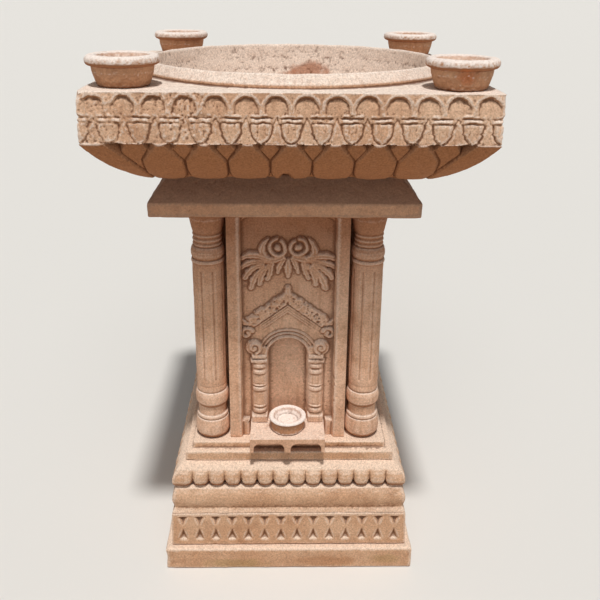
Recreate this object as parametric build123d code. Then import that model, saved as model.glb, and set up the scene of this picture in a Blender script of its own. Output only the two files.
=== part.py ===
from build123d import *
import math
import os

# Tulsi vrindavan: a carved sandstone planter of dry-laid, dowelled courses.
# Millimetres, +Z up, origin at the middle of the underside; -Y is the lamp shelf's side.

# ---------------------------------------------------------------- driving dimensions
# Heights of the courses, from the ground up
SLAB_HEIGHT = 44.0
DIAMOND_HEIGHT = 70.0
ROUND_HEIGHT = 54.5
GADROON_HEIGHT = 44.0
LOWER_STEP_HEIGHT = 18.5
UPPER_STEP_HEIGHT = 11.5
SHAFT_HEIGHT = 450.0
ABACUS_FACE_HEIGHT = 26.0
ABACUS_BEVEL_HEIGHT = 37.5
LOTUS_HEIGHT = 73.5
TRAY_FACE_HEIGHT = 75.0
RIM_HEIGHT = 21.0

# Shaft
PANEL_WIDTH = 212.0
PANEL_THICKNESS = 56.7
STRIP_WIDTH = 22.0
FIELD_DEPTH = 20.0
COLUMN_GAP = 1.3
SHAFT_SHIFT = -3.5        # the shaft stands a little to the left of the base's middle

# Columns: radii of the turned profile
COLUMN_FOOT_RADIUS = 32.7
COLUMN_SEAT_RADIUS = 22.0
COLUMN_BASE_NECK_RADIUS = 25.5
COLUMN_SHAFT_RADIUS = 27.5
COLUMN_NECK_RADIUS = 21.0
COLUMN_CAPITAL_RADIUS = 31.0
TORUS_SWELL = 3.2         # how far the thick rounds and the thin rings stand out past their edges
RING_SWELL = 1.8
FLUTE_COUNT = 8
FLUTE_RADIUS = 9.0
FLUTE_DEPTH = 1.8
FLUTE_MARGIN = 11.0

# Columns: heights of the mouldings, from the foot up and from the top down
FOOT_BELLY = 17.0         # height of the foot round's widest line
FOOT_UNDER_SWELL = 3.0    # how far its underside swells past a straight slope
FOOT_OVER_SWELL = 0.8
FOOT_TORUS_HEIGHT = 39.0
FOOT_RING_HEIGHT = 9.0
BASE_NECK_HEIGHT = 20.0
BASE_TORUS_HEIGHT = 27.0
BASE_RING_HEIGHT = 13.0
CAPITAL_BLOCK = 22.0      # plain round block under the cap stone
CAPITAL_FLARE_HEIGHT = 26.0
CAPITAL_NECK_HEIGHT = 25.0
CAPITAL_TORUS_HEIGHT = 23.0
CAPITAL_RING_HEIGHT = 8.0

# Set-backs: how far each course of the base stands out past the one above it
FOOT_MARGIN = 4.8
STEP_TREAD = 14.0
GADROON_LEDGE = 20.0
ROUND_PROJECTION = 3.0
DIAMOND_PROJECTION = 3.0
DIAMOND_BATTER = 2.5
SLAB_PROJECTION = 11.5

# Mouldings and carving of the base
ARRIS = 2.0               # chamfer of the slab's upper edges
SPLAY_HEIGHT = 13.0       # weathered splay under the round moulding
ROUND_SHOULDER = 6.0      # how far the round moulding draws in at its top
ROUND_SWELL = 3.8
NECK_HEIGHT = 3.0         # hollow neck under the gadroons
NECK_INSET = 8.0
GADROON_COUNT = 14
GADROON_SAGITTA = 7.0
GADROON_UNDERCUT = 8.0    # how far the gadroons draw in at their foot
GADROON_BELLY = 13.0      # height of their widest line
GADROON_FOOT_SWELL = 2.2  # swells of their profile below and above that line
GADROON_CROWN_SWELL = 6.5
DIAMOND_COUNT = 14
DIAMOND_MARGIN = 0.3      # plain stone at both ends of a row, in pitches
PIT_WIDTH = 18.6
UPPER_PIT_HEIGHT = 21.5
LOWER_PIT_HEIGHT = 27.0
PIT_DEPTH = 7.5
PIT_WAIST = 2.0           # stone left between the points of two pits
WAIST_HEIGHT = 40.5       # height of that stone above the slab
PIT_BOTTOM_SHARE = 0.36   # a pit is deepest at this share of the way to its point

# Cap stone
ABACUS_OVERHANG = 49.3
ABACUS_BEVEL_RUN = 33.0
ABACUS_FILLET = 2.0
ABACUS_SHIFT = -9.0       # the cap stone is laid a little to the left of the base's middle

# Lotus tray
TRAY_WIDTH = 610.0
LOTUS_OVERHANG = 27.7
LOTUS_BULGE = 13.0        # how far the underside swells past a straight slope
RIM_SETBACK = 37.0        # from the tray's edge to the rim's foot
RIM_FACE_HEIGHT = 6.5     # upright outer face of the rim, under its slope
RIM_WIDTH = 16.5
RIM_CREST = 3.0
BOWL_SHIFT = 5.0          # the bowl is cut a little to the right of the tray's middle
BOWL_DEPTH = 135.5
BOWL_FLOOR_RADIUS = 158.0
BOWL_SHOULDER_DEPTH = 73.5
BOWL_SHOULDER_INSET = 15.0
BOWL_BELLY = 14.0         # how far its lower wall swells past a straight slope
BOWL_MOUTH_SWELL = 4.0    # and its nearly upright upper wall
PETAL_COUNT = 7
PETAL_WIDTH = 63.5
PETAL_GAP = 1.6
PETAL_RELIEF = 6.0
PETAL_FOOT_INSET = 8.0
PETAL_SHOULDER_SHARE = 0.34   # height of a petal's widest line, as a share of its own
PETAL_FOOT_SWELL = 1.5
PETAL_SIDE_SWELL = 2.5
PETAL_TIP_SHARE = 0.46

# Frieze round the tray: a row of arches, with a capped bud under every springing; drops from its top
ARCH_COUNT = 14
FRIEZE_RELIEF = 5.0
FRIEZE_SILL = 2.0
ARCH_RADIUS = 15.5
ARCH_DROP = 21.5          # to the arches' centres
CAP_WIDTH = 33.0
CAP_DROP = 31.0
CAP_HEIGHT = 5.0
COLLAR_WIDTH = 24.0
COLLAR_DROP = 39.0
COLLAR_HEIGHT = 4.5
BUD_WIDTH = 26.0
BUD_DROP = 46.0
BUD_HEIGHT = 28.0
LEAF_WIDTH = 13.0
LEAF_DROP = 38.0
LEAF_SWELL = 2.0

# Niche, pilasters and gable of a panel
NICHE_WIDTH = 72.0
NICHE_DEPTH = 14.0
NICHE_CROWN = 196.7       # crown of the arch above the foot of the panel
NICHE_SILL = 30.0         # the niche starts level with the top of the shelf
ARCH_BAND = 18.0
ARCH_RELIEF = 8.0
ARCH_STILT = 8.0          # the arch band runs this far down past its centre
PILASTER_RADIUS = 15.5
PILASTER_SINK = 5.0
PILASTER_DROP = 44.0      # from the niche's crown to the top of a pilaster
PILASTER_RING = 1.5
PILASTER_RING_HEIGHT = 5.0
PILASTER_RINGS = (0.15, 0.22, 0.52, 0.82, 0.90)     # feet of its rings, as shares of its height
PLINTH_BLOCK_HEIGHT = 14.0
PLINTH_BLOCK_DEPTH = 18.0
CAPITAL_BLOCK_HEIGHT = 22.0
CAPITAL_BLOCK_DEPTH = 8.0
VOLUTE_RADIUS = 13.0
VOLUTE_DEPTH = 11.0
VOLUTE_OFFSET = 9.5
VOLUTE_SINK = 5.0
EYE_SHARE = 0.42          # the sunk eye of a volute or of a gable's scroll, against its radius
GABLE_CROWN = 291.0
GABLE_HALF_WIDTH = 83.0
GABLE_FOOT_DROP = 14.0    # from the niche's crown down to the gable's foot
GABLE_EAVE_RISE = 22.0
GABLE_SHOULDER_RISE = 52.0
GABLE_FOOT_INSET = 20.0
GABLE_EAVE_INSET = 12.0
GABLE_SHOULDER_INSET = 18.0
GABLE_BAND = 32.0         # height of the raking band, measured upright
GABLE_RELIEF = 7.0
GABLE_SCROLL_RADIUS = 11.5
GABLE_SCROLL_RISE = 30.0
GABLE_SCROLL_SINK = 4.0
CORNER_BLOCK_WIDTH = 14.0
CORNER_BLOCK_HEIGHT = 32.0
CORNER_BLOCK_DEPTH = 13.0
SILL_BAND_WIDTH = 136.0   # plain band under the niches that have no shelf

# Scroll carving at the top of a panel
SCROLL_RELIEF = 7.0
SCROLL_HEIGHT = 374.5     # height of the scroll eyes above the foot of the panel
SCROLL_EYE_OFFSET = 21.7
SCROLL_EYE_RADIUS = 17.0
SCROLL_EYE_WALL = 8.5
SCROLL_PUPIL_RADIUS = 5.0
SCROLL_PUPIL_RELIEF = 5.0
SCROLL_LEAVES = (         # place, drop below the eyes, length and width in eye radii; tilt in degrees
    (2.90, 1.50, 3.90, 1.70, -12),
    (4.40, 3.75, 1.50, 0.58, 90),
    (3.70, 3.95, 2.70, 0.58, 90),
    (2.90, 3.75, 1.50, 0.58, 90),
    (2.26, 3.20, 1.60, 0.58, 90),
)
SCROLL_BUD = (0.0, 2.24, 2.35, 0.88, 90)

# Lamp shelf
SHELF_WIDTH = 136.0
SHELF_PROJECTION = 50.3
SHELF_LIP = 11.5          # stone over the arches of the apron
APRON_DEPTH = 24.0        # how far the arches are cut back under the shelf
APRON_LEG = 7.0
PENDANT_WIDTH = 12.0
APRON_SHOULDER = 11.0     # radius of the arches' rounded upper corners

# Lamps
LAMP_RADIUS = 55.5
LAMP_HEIGHT = 46.0
LAMP_BASE_RADIUS = 37.0
LAMP_CUP_DEPTH = 19.0
LAMP_LIP = 7.0
LAMP_INSET = 57.0         # from the tray's edges to the middle of a corner lamp
LAMP_PLACES = {           # side of the tray; each lamp stands some way off its spot, in lamp radii
    "front_left": (-1, -1, -0.01, 0.235),
    "front_right": (1, -1, 0.05, 0.05),
    "back_left": (-1, 1, 0.38, 0.04),
    "back_right": (1, 1, 0.09, 0.02),
}
SHELF_LAMP_RADIUS = 34.5
SHELF_LAMP_HEIGHT = 28.5
SHELF_LAMP_BASE_RADIUS = 29.0
SHELF_LAMP_CUP_DEPTH = 12.0
SHELF_LAMP_LIP = 3.5
SHELF_LAMP_SETBACK = 37.5  # from the shelf's front edge to the middle of the lamp
LAMP_BELLY = 3.0           # how far a lamp's side swells past a straight slope
CUP_FLOOR_SHARE = 0.5      # width of a cup's flat floor against its mouth
CUP_BELLY = 3.0

# Dowels
DOWEL_RADIUS = 8.0
DOWEL_LENGTH = 44.0
DOWEL_CLEARANCE = 0.3
DOWEL_OFFSET = 60.0
DOWEL_CHAMFER = 1.0

# ---------------------------------------------------------------- levels
SLAB_TOP = SLAB_HEIGHT
DIAMOND_TOP = SLAB_TOP + DIAMOND_HEIGHT
ROUND_TOP = DIAMOND_TOP + ROUND_HEIGHT
GADROON_TOP = ROUND_TOP + GADROON_HEIGHT
LOWER_STEP_TOP = GADROON_TOP + LOWER_STEP_HEIGHT
SHAFT_FOOT = LOWER_STEP_TOP + UPPER_STEP_HEIGHT
SHAFT_TOP = SHAFT_FOOT + SHAFT_HEIGHT
ABACUS_EDGE = SHAFT_TOP + ABACUS_FACE_HEIGHT
ABACUS_TOP = ABACUS_EDGE + ABACUS_BEVEL_HEIGHT
LOTUS_TOP = ABACUS_TOP + LOTUS_HEIGHT
TRAY_TOP = LOTUS_TOP + TRAY_FACE_HEIGHT
RIM_TOP = TRAY_TOP + RIM_HEIGHT

# ---------------------------------------------------------------- half-widths of the courses
PANEL_HALF = PANEL_WIDTH / 2
COLUMN_AXIS = PANEL_HALF + COLUMN_GAP + COLUMN_FOOT_RADIUS
PANEL_FACE = PANEL_HALF + PANEL_THICKNESS
UPPER_STEP_HALF = COLUMN_AXIS + COLUMN_FOOT_RADIUS + FOOT_MARGIN
LOWER_STEP_HALF = UPPER_STEP_HALF + STEP_TREAD
GADROON_HALF = LOWER_STEP_HALF + GADROON_LEDGE
ROUND_HALF = GADROON_HALF + ROUND_PROJECTION
DIAMOND_TOP_HALF = ROUND_HALF + DIAMOND_PROJECTION
DIAMOND_HALF = DIAMOND_TOP_HALF + DIAMOND_BATTER
SLAB_HALF = DIAMOND_HALF + SLAB_PROJECTION
ABACUS_HALF = COLUMN_AXIS + COLUMN_CAPITAL_RADIUS + ABACUS_OVERHANG
ABACUS_TOP_HALF = ABACUS_HALF - ABACUS_BEVEL_RUN
LOTUS_HALF = ABACUS_TOP_HALF + LOTUS_OVERHANG
TRAY_HALF = TRAY_WIDTH / 2
RIM_RADIUS = TRAY_HALF - RIM_SETBACK
BOWL_RADIUS = RIM_RADIUS - RIM_WIDTH


# ---------------------------------------------------------------- helpers
def arc_to(here, there, swell):
    """An arc between two points that stands `swell` to the right of the straight way."""
    run, rise = there[0] - here[0], there[1] - here[1]
    share = swell / math.hypot(run, rise)
    middle = ((here[0] + there[0]) / 2 + share * rise, (here[1] + there[1]) / 2 - share * run)
    return ThreePointArc(here, middle, there)


def outline(*points):
    """Edges through the given points; a third number makes the way to its point an arc of that swell."""
    edges = []
    for here, there in zip(points, points[1:]):
        start, end = here[:2], there[:2]
        edges.append(arc_to(start, end, there[2]) if len(there) == 3 else Line(start, end))
    return edges


def rectangle(left, right, low, high):
    return outline((left, low), (right, low), (right, high), (left, high), (left, low))


def prism(edges, half_length):
    """A profile in the XZ plane, closed by its own edges, run to both sides of that plane."""
    return extrude(Plane.XZ * make_face(edges), amount=half_length, both=True)


def square_course(*right_side):
    """A moulded square course: its right-hand outline, mirrored, run along both axes and mitred."""
    right = outline(*right_side)
    left = [edge.mirror(Plane.YZ) for edge in right]
    low, high = right_side[0], right_side[-1]
    base = Line((-low[0], low[1]), (low[0], low[1]))
    top = Line((-high[0], high[1]), (high[0], high[1]))
    run = prism([*right, *left, base, top], 2 * max(low[0], high[0]))
    return run & run.rotate(Axis.Z, 90)


def turned(*points):
    """A solid of revolution about Z; its outline is closed along the axis."""
    foot, crown = (0.0, points[0][1]), (0.0, points[-1][1])
    return revolve(Plane.XZ * make_face(outline(foot, *points, crown, foot)), Axis.Z)


def round_sides(shape):
    """Copies of a front-side shape turned to all four sides."""
    return [shape.rotate(Axis.Z, 90 * turn) for turn in range(4)]


def save(shape, node):
    export_step(shape, f"parts/{node}.step")


# ---------------------------------------------------------------- dowels
def dowel_spots(index):
    """The two dowels of a bed joint stand across the ones in the joints above and below."""
    along_x = index % 2 == 0
    return [(s * DOWEL_OFFSET, 0) if along_x else (0, s * DOWEL_OFFSET) for s in (-1, 1)]


BED_JOINTS = [SLAB_TOP, DIAMOND_TOP, ROUND_TOP, GADROON_TOP, SHAFT_FOOT, SHAFT_TOP, ABACUS_TOP]


def drill_dowel_holes(stone):
    """Blind holes for the dowels of every bed joint that the stone touches."""
    box = stone.bounding_box()
    depth = DOWEL_LENGTH / 2 + DOWEL_CLEARANCE / 2
    for index, level in enumerate(BED_JOINTS):
        above = abs(box.min.Z - level) < 0.01
        below = abs(box.max.Z - level) < 0.01
        if above or below:
            hole = Cylinder(DOWEL_RADIUS + DOWEL_CLEARANCE, 2 * depth)
            for x, y in dowel_spots(index):
                stone -= Pos(x, y, level) * hole
    return stone


def joint_dowels():
    pin = chamfer(Cylinder(DOWEL_RADIUS, DOWEL_LENGTH).edges().filter_by(GeomType.CIRCLE), DOWEL_CHAMFER)
    seated = -DOWEL_CLEARANCE / 2
    return Compound([Pos(x, y, level + seated) * pin
                     for index, level in enumerate(BED_JOINTS) for x, y in dowel_spots(index)])


# ---------------------------------------------------------------- base courses
def plinth_slab():
    slab = Pos(0, 0, SLAB_HEIGHT / 2) * Box(2 * SLAB_HALF, 2 * SLAB_HALF, SLAB_HEIGHT)
    slab = chamfer(slab.edges().group_by(Axis.Z)[-1], ARRIS)
    return drill_dowel_holes(slab)


def chip_pit(base_z, point_z):
    """A three-faced pit cut with a chisel: a triangle on the face that deepens to one point."""
    face = -DIAMOND_HALF - 1
    deep = -DIAMOND_TOP_HALF + PIT_DEPTH
    corners = [(-PIT_WIDTH / 2, face, base_z), (PIT_WIDTH / 2, face, base_z), (0, face, point_z)]
    bottom = (0, deep, base_z + (point_z - base_z) * PIT_BOTTOM_SHARE)
    faces = [make_face(Polyline(*corners, close=True))]
    for a, b in zip(corners, corners[1:] + corners[:1]):
        faces.append(make_face(Polyline(a, b, bottom, close=True)))
    return Solid(Shell(faces))


def diamond_course():
    """Rows of chip-cut pits meet point to point and leave upright diamonds between them."""
    stone = square_course((DIAMOND_HALF, SLAB_TOP), (DIAMOND_TOP_HALF, DIAMOND_TOP))
    pitch = 2 * DIAMOND_TOP_HALF / (DIAMOND_COUNT + DIAMOND_MARGIN)
    upper_point = SLAB_TOP + WAIST_HEIGHT + PIT_WAIST / 2
    lower_point = SLAB_TOP + WAIST_HEIGHT - PIT_WAIST / 2
    upper = chip_pit(upper_point + UPPER_PIT_HEIGHT, upper_point)
    lower = chip_pit(lower_point - LOWER_PIT_HEIGHT, lower_point)
    spots = [Pos((index - (DIAMOND_COUNT - 1) / 2) * pitch, 0, 0) for index in range(DIAMOND_COUNT)]
    pits = [spot * pit for spot in spots for pit in (upper, lower)]
    for side in range(4):
        stone = stone - [pit.rotate(Axis.Z, 90 * side) for pit in pits]
    return drill_dowel_holes(stone)


def round_course():
    """A weathered splay below, a round moulding, and a hollow neck under the gadroons."""
    neck = ROUND_TOP - NECK_HEIGHT
    return drill_dowel_holes(square_course(
        (DIAMOND_TOP_HALF, DIAMOND_TOP), (ROUND_HALF, DIAMOND_TOP + SPLAY_HEIGHT),
        (ROUND_HALF - ROUND_SHOULDER, neck, ROUND_SWELL),
        (ROUND_HALF - NECK_INSET, neck + NECK_HEIGHT / 2), (ROUND_HALF - NECK_INSET, ROUND_TOP)))


def gadroon_course():
    """Gadroons: the plan has an arc for each lobe, and a swelling profile rounds them over."""
    half = GADROON_HALF - GADROON_SAGITTA / 2
    out = half + GADROON_SAGITTA
    pitch = 2 * half / GADROON_COUNT
    lobes = outline((-half, -half), *[(-half + (index + 1) * pitch, -half, GADROON_SAGITTA)
                                      for index in range(GADROON_COUNT)])
    plan = [lobe.rotate(Axis.Z, 90 * side) for side in range(4) for lobe in lobes]
    swelling = square_course(
        (out - GADROON_UNDERCUT, ROUND_TOP), (out, ROUND_TOP + GADROON_BELLY, GADROON_FOOT_SWELL),
        (LOWER_STEP_HALF, GADROON_TOP, GADROON_CROWN_SWELL))
    return drill_dowel_holes(Pos(0, 0, ROUND_TOP) * extrude(make_face(plan), GADROON_HEIGHT) & swelling)


def stepped_course():
    return drill_dowel_holes(square_course(
        (LOWER_STEP_HALF, GADROON_TOP), (LOWER_STEP_HALF, LOWER_STEP_TOP),
        (UPPER_STEP_HALF, LOWER_STEP_TOP), (UPPER_STEP_HALF, SHAFT_FOOT)))


# ---------------------------------------------------------------- shaft
def shaft_core():
    core = Box(PANEL_WIDTH, PANEL_WIDTH, SHAFT_HEIGHT)
    return drill_dowel_holes(Pos(SHAFT_SHIFT, 0, SHAFT_FOOT + SHAFT_HEIGHT / 2) * core)


def relief(edges, back, front):
    """A carved layer of a front panel between two depths, both measured out from the core's middle."""
    return Pos(0, -back, SHAFT_FOOT) * extrude(Plane.XZ * make_face(edges), amount=front - back)


def disc(radius, x, z, back, front):
    """A round boss or bore of a front panel between two depths."""
    return Pos(x, -back, SHAFT_FOOT + z) * extrude(Plane.XZ * Circle(radius), amount=front - back)


def niche_outline(radius, sill):
    """A round-headed opening, its crown set so that all the arch lines share one centre."""
    centre = NICHE_CROWN - NICHE_WIDTH / 2
    return outline((-radius, sill), (radius, sill), (radius, centre), (-radius, centre, radius),
                   (-radius, sill))


def arch_band(field):
    springing = NICHE_CROWN - NICHE_WIDTH / 2 - ARCH_STILT
    outer = relief(niche_outline(NICHE_WIDTH / 2 + ARCH_BAND, springing), field, field + ARCH_RELIEF)
    inner = relief(niche_outline(NICHE_WIDTH / 2, 0), field - NICHE_DEPTH, field + 2 * ARCH_RELIEF)
    return outer - inner


def gable(field):
    """A steep torana over the arch, with an upturned scroll at each end."""
    foot = NICHE_CROWN - GABLE_FOOT_DROP
    eave, shoulder = foot + GABLE_EAVE_RISE, foot + GABLE_SHOULDER_RISE
    foot_half = GABLE_HALF_WIDTH - GABLE_FOOT_INSET
    eave_half = GABLE_HALF_WIDTH - GABLE_EAVE_INSET
    shoulder_half = GABLE_HALF_WIDTH - GABLE_SHOULDER_INSET
    slopes = [(eave_half, eave), (shoulder_half, shoulder), (0, GABLE_CROWN), (-shoulder_half, shoulder),
              (-eave_half, eave)]
    plate = outline((-foot_half, foot), (foot_half, foot), *slopes, (-foot_half, foot))
    raised = outline(*slopes, (0, GABLE_CROWN - GABLE_BAND), slopes[0])
    opening = relief(niche_outline(NICHE_WIDTH / 2, 0), field - NICHE_DEPTH, field + 2 * GABLE_RELIEF)
    body = relief(plate, field, field + GABLE_RELIEF / 2) + relief(raised, field, field + GABLE_RELIEF)
    for side in (-1, 1):
        x, z = side * (GABLE_HALF_WIDTH - GABLE_SCROLL_RADIUS), foot + GABLE_SCROLL_RISE
        body += disc(GABLE_SCROLL_RADIUS, x, z, field, field + GABLE_RELIEF + 1)
        body -= disc(EYE_SHARE * GABLE_SCROLL_RADIUS, x, z, field + GABLE_SCROLL_SINK,
                     field + 2 * GABLE_RELIEF)
    return body - opening


def pilaster(field, side):
    """A ringed half-round pilaster on a square block, with a volute capital."""
    x = side * (NICHE_WIDTH / 2 + PILASTER_RADIUS)
    foot, top = NICHE_SILL, NICHE_CROWN - PILASTER_DROP
    radius = PILASTER_RADIUS
    points = [(radius, foot)]
    for share in PILASTER_RINGS:
        ring = foot + share * (top - foot)
        points += [(radius, ring), (radius, ring + PILASTER_RING_HEIGHT, PILASTER_RING)]
    drum = Pos(x, -field + PILASTER_SINK, SHAFT_FOOT) * turned(*points, (radius, top))
    plinth = relief(rectangle(x - radius, x + radius, foot, foot + PLINTH_BLOCK_HEIGHT),
                    field, field + PLINTH_BLOCK_DEPTH)
    capital = relief(rectangle(x - radius, x + radius, top, top + CAPITAL_BLOCK_HEIGHT),
                     field, field + CAPITAL_BLOCK_DEPTH)
    volute_x, volute_z = x + side * VOLUTE_OFFSET, top + VOLUTE_RADIUS
    volute = disc(VOLUTE_RADIUS, volute_x, volute_z, field, field + VOLUTE_DEPTH)
    eye = disc(EYE_SHARE * VOLUTE_RADIUS, volute_x, volute_z, field + VOLUTE_DEPTH - VOLUTE_SINK,
               field + 2 * VOLUTE_DEPTH)
    return drum + plinth + capital + volute - eye


def leaf(field, side, place, drop, length, width, tilt):
    """One lobe of the scrolled foliage, sized in eye radii."""
    unit = SCROLL_EYE_RADIUS
    lobe = extrude(Plane.XZ * Ellipse(unit * length / 2, unit * width / 2), amount=SCROLL_RELIEF)
    height = SHAFT_FOOT + SCROLL_HEIGHT - drop * unit
    return Pos(side * place * unit, -field, height) * lobe.rotate(Axis.Y, -side * tilt)


def scroll_carving(field):
    """Two round scrolls over drooping leaves, with a bud between them."""
    pieces = [leaf(field, 1, *SCROLL_BUD)]
    for side in (-1, 1):
        x = side * SCROLL_EYE_OFFSET
        ring = disc(SCROLL_EYE_RADIUS, x, SCROLL_HEIGHT, field, field + SCROLL_RELIEF)
        ring -= disc(SCROLL_EYE_RADIUS - SCROLL_EYE_WALL, x, SCROLL_HEIGHT, field, field + SCROLL_RELIEF)
        pupil = disc(SCROLL_PUPIL_RADIUS, x, SCROLL_HEIGHT, field, field + SCROLL_PUPIL_RELIEF)
        pieces += [ring, pupil, *[leaf(field, side, *sizes) for sizes in SCROLL_LEAVES]]
    return pieces


def panel(has_sill_band):
    """A front panel: two flat strips, a sunk field, the niche with its arch, and the carving."""
    field = PANEL_FACE - FIELD_DEPTH
    field_half = PANEL_HALF - STRIP_WIDTH
    stone = relief(rectangle(-PANEL_HALF, PANEL_HALF, 0, SHAFT_HEIGHT), PANEL_HALF, PANEL_FACE)
    stone -= relief(rectangle(-field_half, field_half, -1, SHAFT_HEIGHT + 1), field, PANEL_FACE + 1)
    stone -= relief(niche_outline(NICHE_WIDTH / 2, NICHE_SILL), field - NICHE_DEPTH, field + 1)
    stone += gable(field)
    stone += arch_band(field)
    for side in (-1, 1):
        stone += pilaster(field, side)
        inner, outer = sorted((side * (field_half - CORNER_BLOCK_WIDTH), side * field_half))
        stone += relief(rectangle(inner, outer, 0, CORNER_BLOCK_HEIGHT), field, field + CORNER_BLOCK_DEPTH)
    stone += scroll_carving(field)
    if has_sill_band:
        band = rectangle(-SILL_BAND_WIDTH / 2, SILL_BAND_WIDTH / 2, 0, NICHE_SILL)
        stone += relief(band, field, field + PLINTH_BLOCK_DEPTH)
    return stone


def column():
    """Moulded base, fluted shaft and moulded capital, carved from one stone."""
    big, thin, neck = COLUMN_FOOT_RADIUS, COLUMN_SHAFT_RADIUS, COLUMN_NECK_RADIUS
    cap = COLUMN_CAPITAL_RADIUS
    foot = SHAFT_FOOT
    foot_ring = foot + FOOT_TORUS_HEIGHT
    base_neck = foot_ring + FOOT_RING_HEIGHT
    base_torus = base_neck + BASE_NECK_HEIGHT
    base_ring = base_torus + BASE_TORUS_HEIGHT
    shaft_low = base_ring + BASE_RING_HEIGHT
    block = SHAFT_TOP - CAPITAL_BLOCK
    flare = block - CAPITAL_FLARE_HEIGHT
    neck_rings = flare - CAPITAL_NECK_HEIGHT
    torus = neck_rings - CAPITAL_TORUS_HEIGHT
    shaft_high = torus - CAPITAL_RING_HEIGHT
    ring = CAPITAL_NECK_HEIGHT / 3
    stone = turned(
        (COLUMN_SEAT_RADIUS, foot), (big, foot + FOOT_BELLY, FOOT_UNDER_SWELL),
        (big - TORUS_SWELL, foot_ring, FOOT_OVER_SWELL),
        (thin, foot_ring), (thin, base_neck, RING_SWELL),
        (COLUMN_BASE_NECK_RADIUS, base_neck), (COLUMN_BASE_NECK_RADIUS, base_torus),
        (thin, base_torus), (thin, base_ring, TORUS_SWELL),
        (thin - RING_SWELL, base_ring), (thin - RING_SWELL, shaft_low, RING_SWELL),
        (thin, shaft_low), (thin, shaft_high), (thin, torus, RING_SWELL),
        (thin - TORUS_SWELL / 2, torus), (thin - TORUS_SWELL / 2, neck_rings, TORUS_SWELL),
        (neck, neck_rings), (neck, neck_rings + ring, RING_SWELL),
        (neck, neck_rings + 2 * ring, RING_SWELL), (neck, flare, RING_SWELL),
        (cap, block), (cap, SHAFT_TOP))
    flute = Cylinder(FLUTE_RADIUS, shaft_high - shaft_low - 2 * FLUTE_MARGIN)
    flute = Pos(COLUMN_SHAFT_RADIUS + FLUTE_RADIUS - FLUTE_DEPTH, 0, (shaft_low + shaft_high) / 2) * flute
    step = 360 / FLUTE_COUNT
    return stone - [flute.rotate(Axis.Z, (index + 0.5) * step) for index in range(FLUTE_COUNT)]


# ---------------------------------------------------------------- lamp shelf
def lamp_shelf():
    """A slab let into the panel's field and resting on the steps; two flat arches cut its front underside."""
    back = -(PANEL_FACE - FIELD_DEPTH)
    front = -(PANEL_FACE + SHELF_PROJECTION)
    slab = Box(SHELF_WIDTH, back - front, NICHE_SILL)
    shelf = Pos(0, (front + back) / 2, SHAFT_FOOT + NICHE_SILL / 2) * slab
    inner, outer = PENDANT_WIDTH / 2, SHELF_WIDTH / 2 - APRON_LEG
    arch = RectangleRounded(outer - inner, 2 * (NICHE_SILL - SHELF_LIP), APRON_SHOULDER)
    cut = extrude(Plane.XZ * arch, amount=APRON_DEPTH + 1)
    middle = (inner + outer) / 2
    return shelf - [Pos(side * middle, front + APRON_DEPTH, SHAFT_FOOT) * cut for side in (-1, 1)]


# ---------------------------------------------------------------- cap stone
def abacus():
    return drill_dowel_holes(Pos(ABACUS_SHIFT, 0, 0) * square_course(
        (ABACUS_HALF, SHAFT_TOP), (ABACUS_HALF, ABACUS_EDGE), (ABACUS_HALF - ABACUS_FILLET, ABACUS_EDGE),
        (ABACUS_TOP_HALF, ABACUS_TOP)))


# ---------------------------------------------------------------- lotus tray
def petal(width):
    """An upright prism of onion outline: full at its shoulder, drawn in towards the tip."""
    half, tip = width / 2, PETAL_TIP_SHARE * width / 2
    shoulder = ABACUS_TOP + PETAL_SHOULDER_SHARE * LOTUS_HEIGHT
    top = LOTUS_TOP + 1
    face = make_face(outline(
        (-half + PETAL_FOOT_INSET, ABACUS_TOP), (half - PETAL_FOOT_INSET, ABACUS_TOP),
        (half, shoulder, PETAL_FOOT_SWELL), (tip, top, PETAL_SIDE_SWELL), (-tip, top),
        (-half, shoulder, PETAL_SIDE_SWELL), (-half + PETAL_FOOT_INSET, ABACUS_TOP, PETAL_FOOT_SWELL)))
    return extrude(Plane.XZ * face, amount=TRAY_WIDTH)


def lotus_petals(envelope):
    """Petals are cut from the flared envelope by upright prisms, one row to a side and one to a corner."""
    side_petal = petal(PETAL_WIDTH - PETAL_GAP)
    row = [Pos((index - (PETAL_COUNT - 1) / 2) * PETAL_WIDTH, 0, 0) * side_petal
           for index in range(PETAL_COUNT)]
    corner_share = (TRAY_WIDTH - PETAL_COUNT * PETAL_WIDTH) / 2
    row.append(petal(math.sqrt(2) * corner_share).rotate(Axis.Z, 45))
    return [envelope & shape for prism_shape in row for shape in round_sides(prism_shape)]


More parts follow.
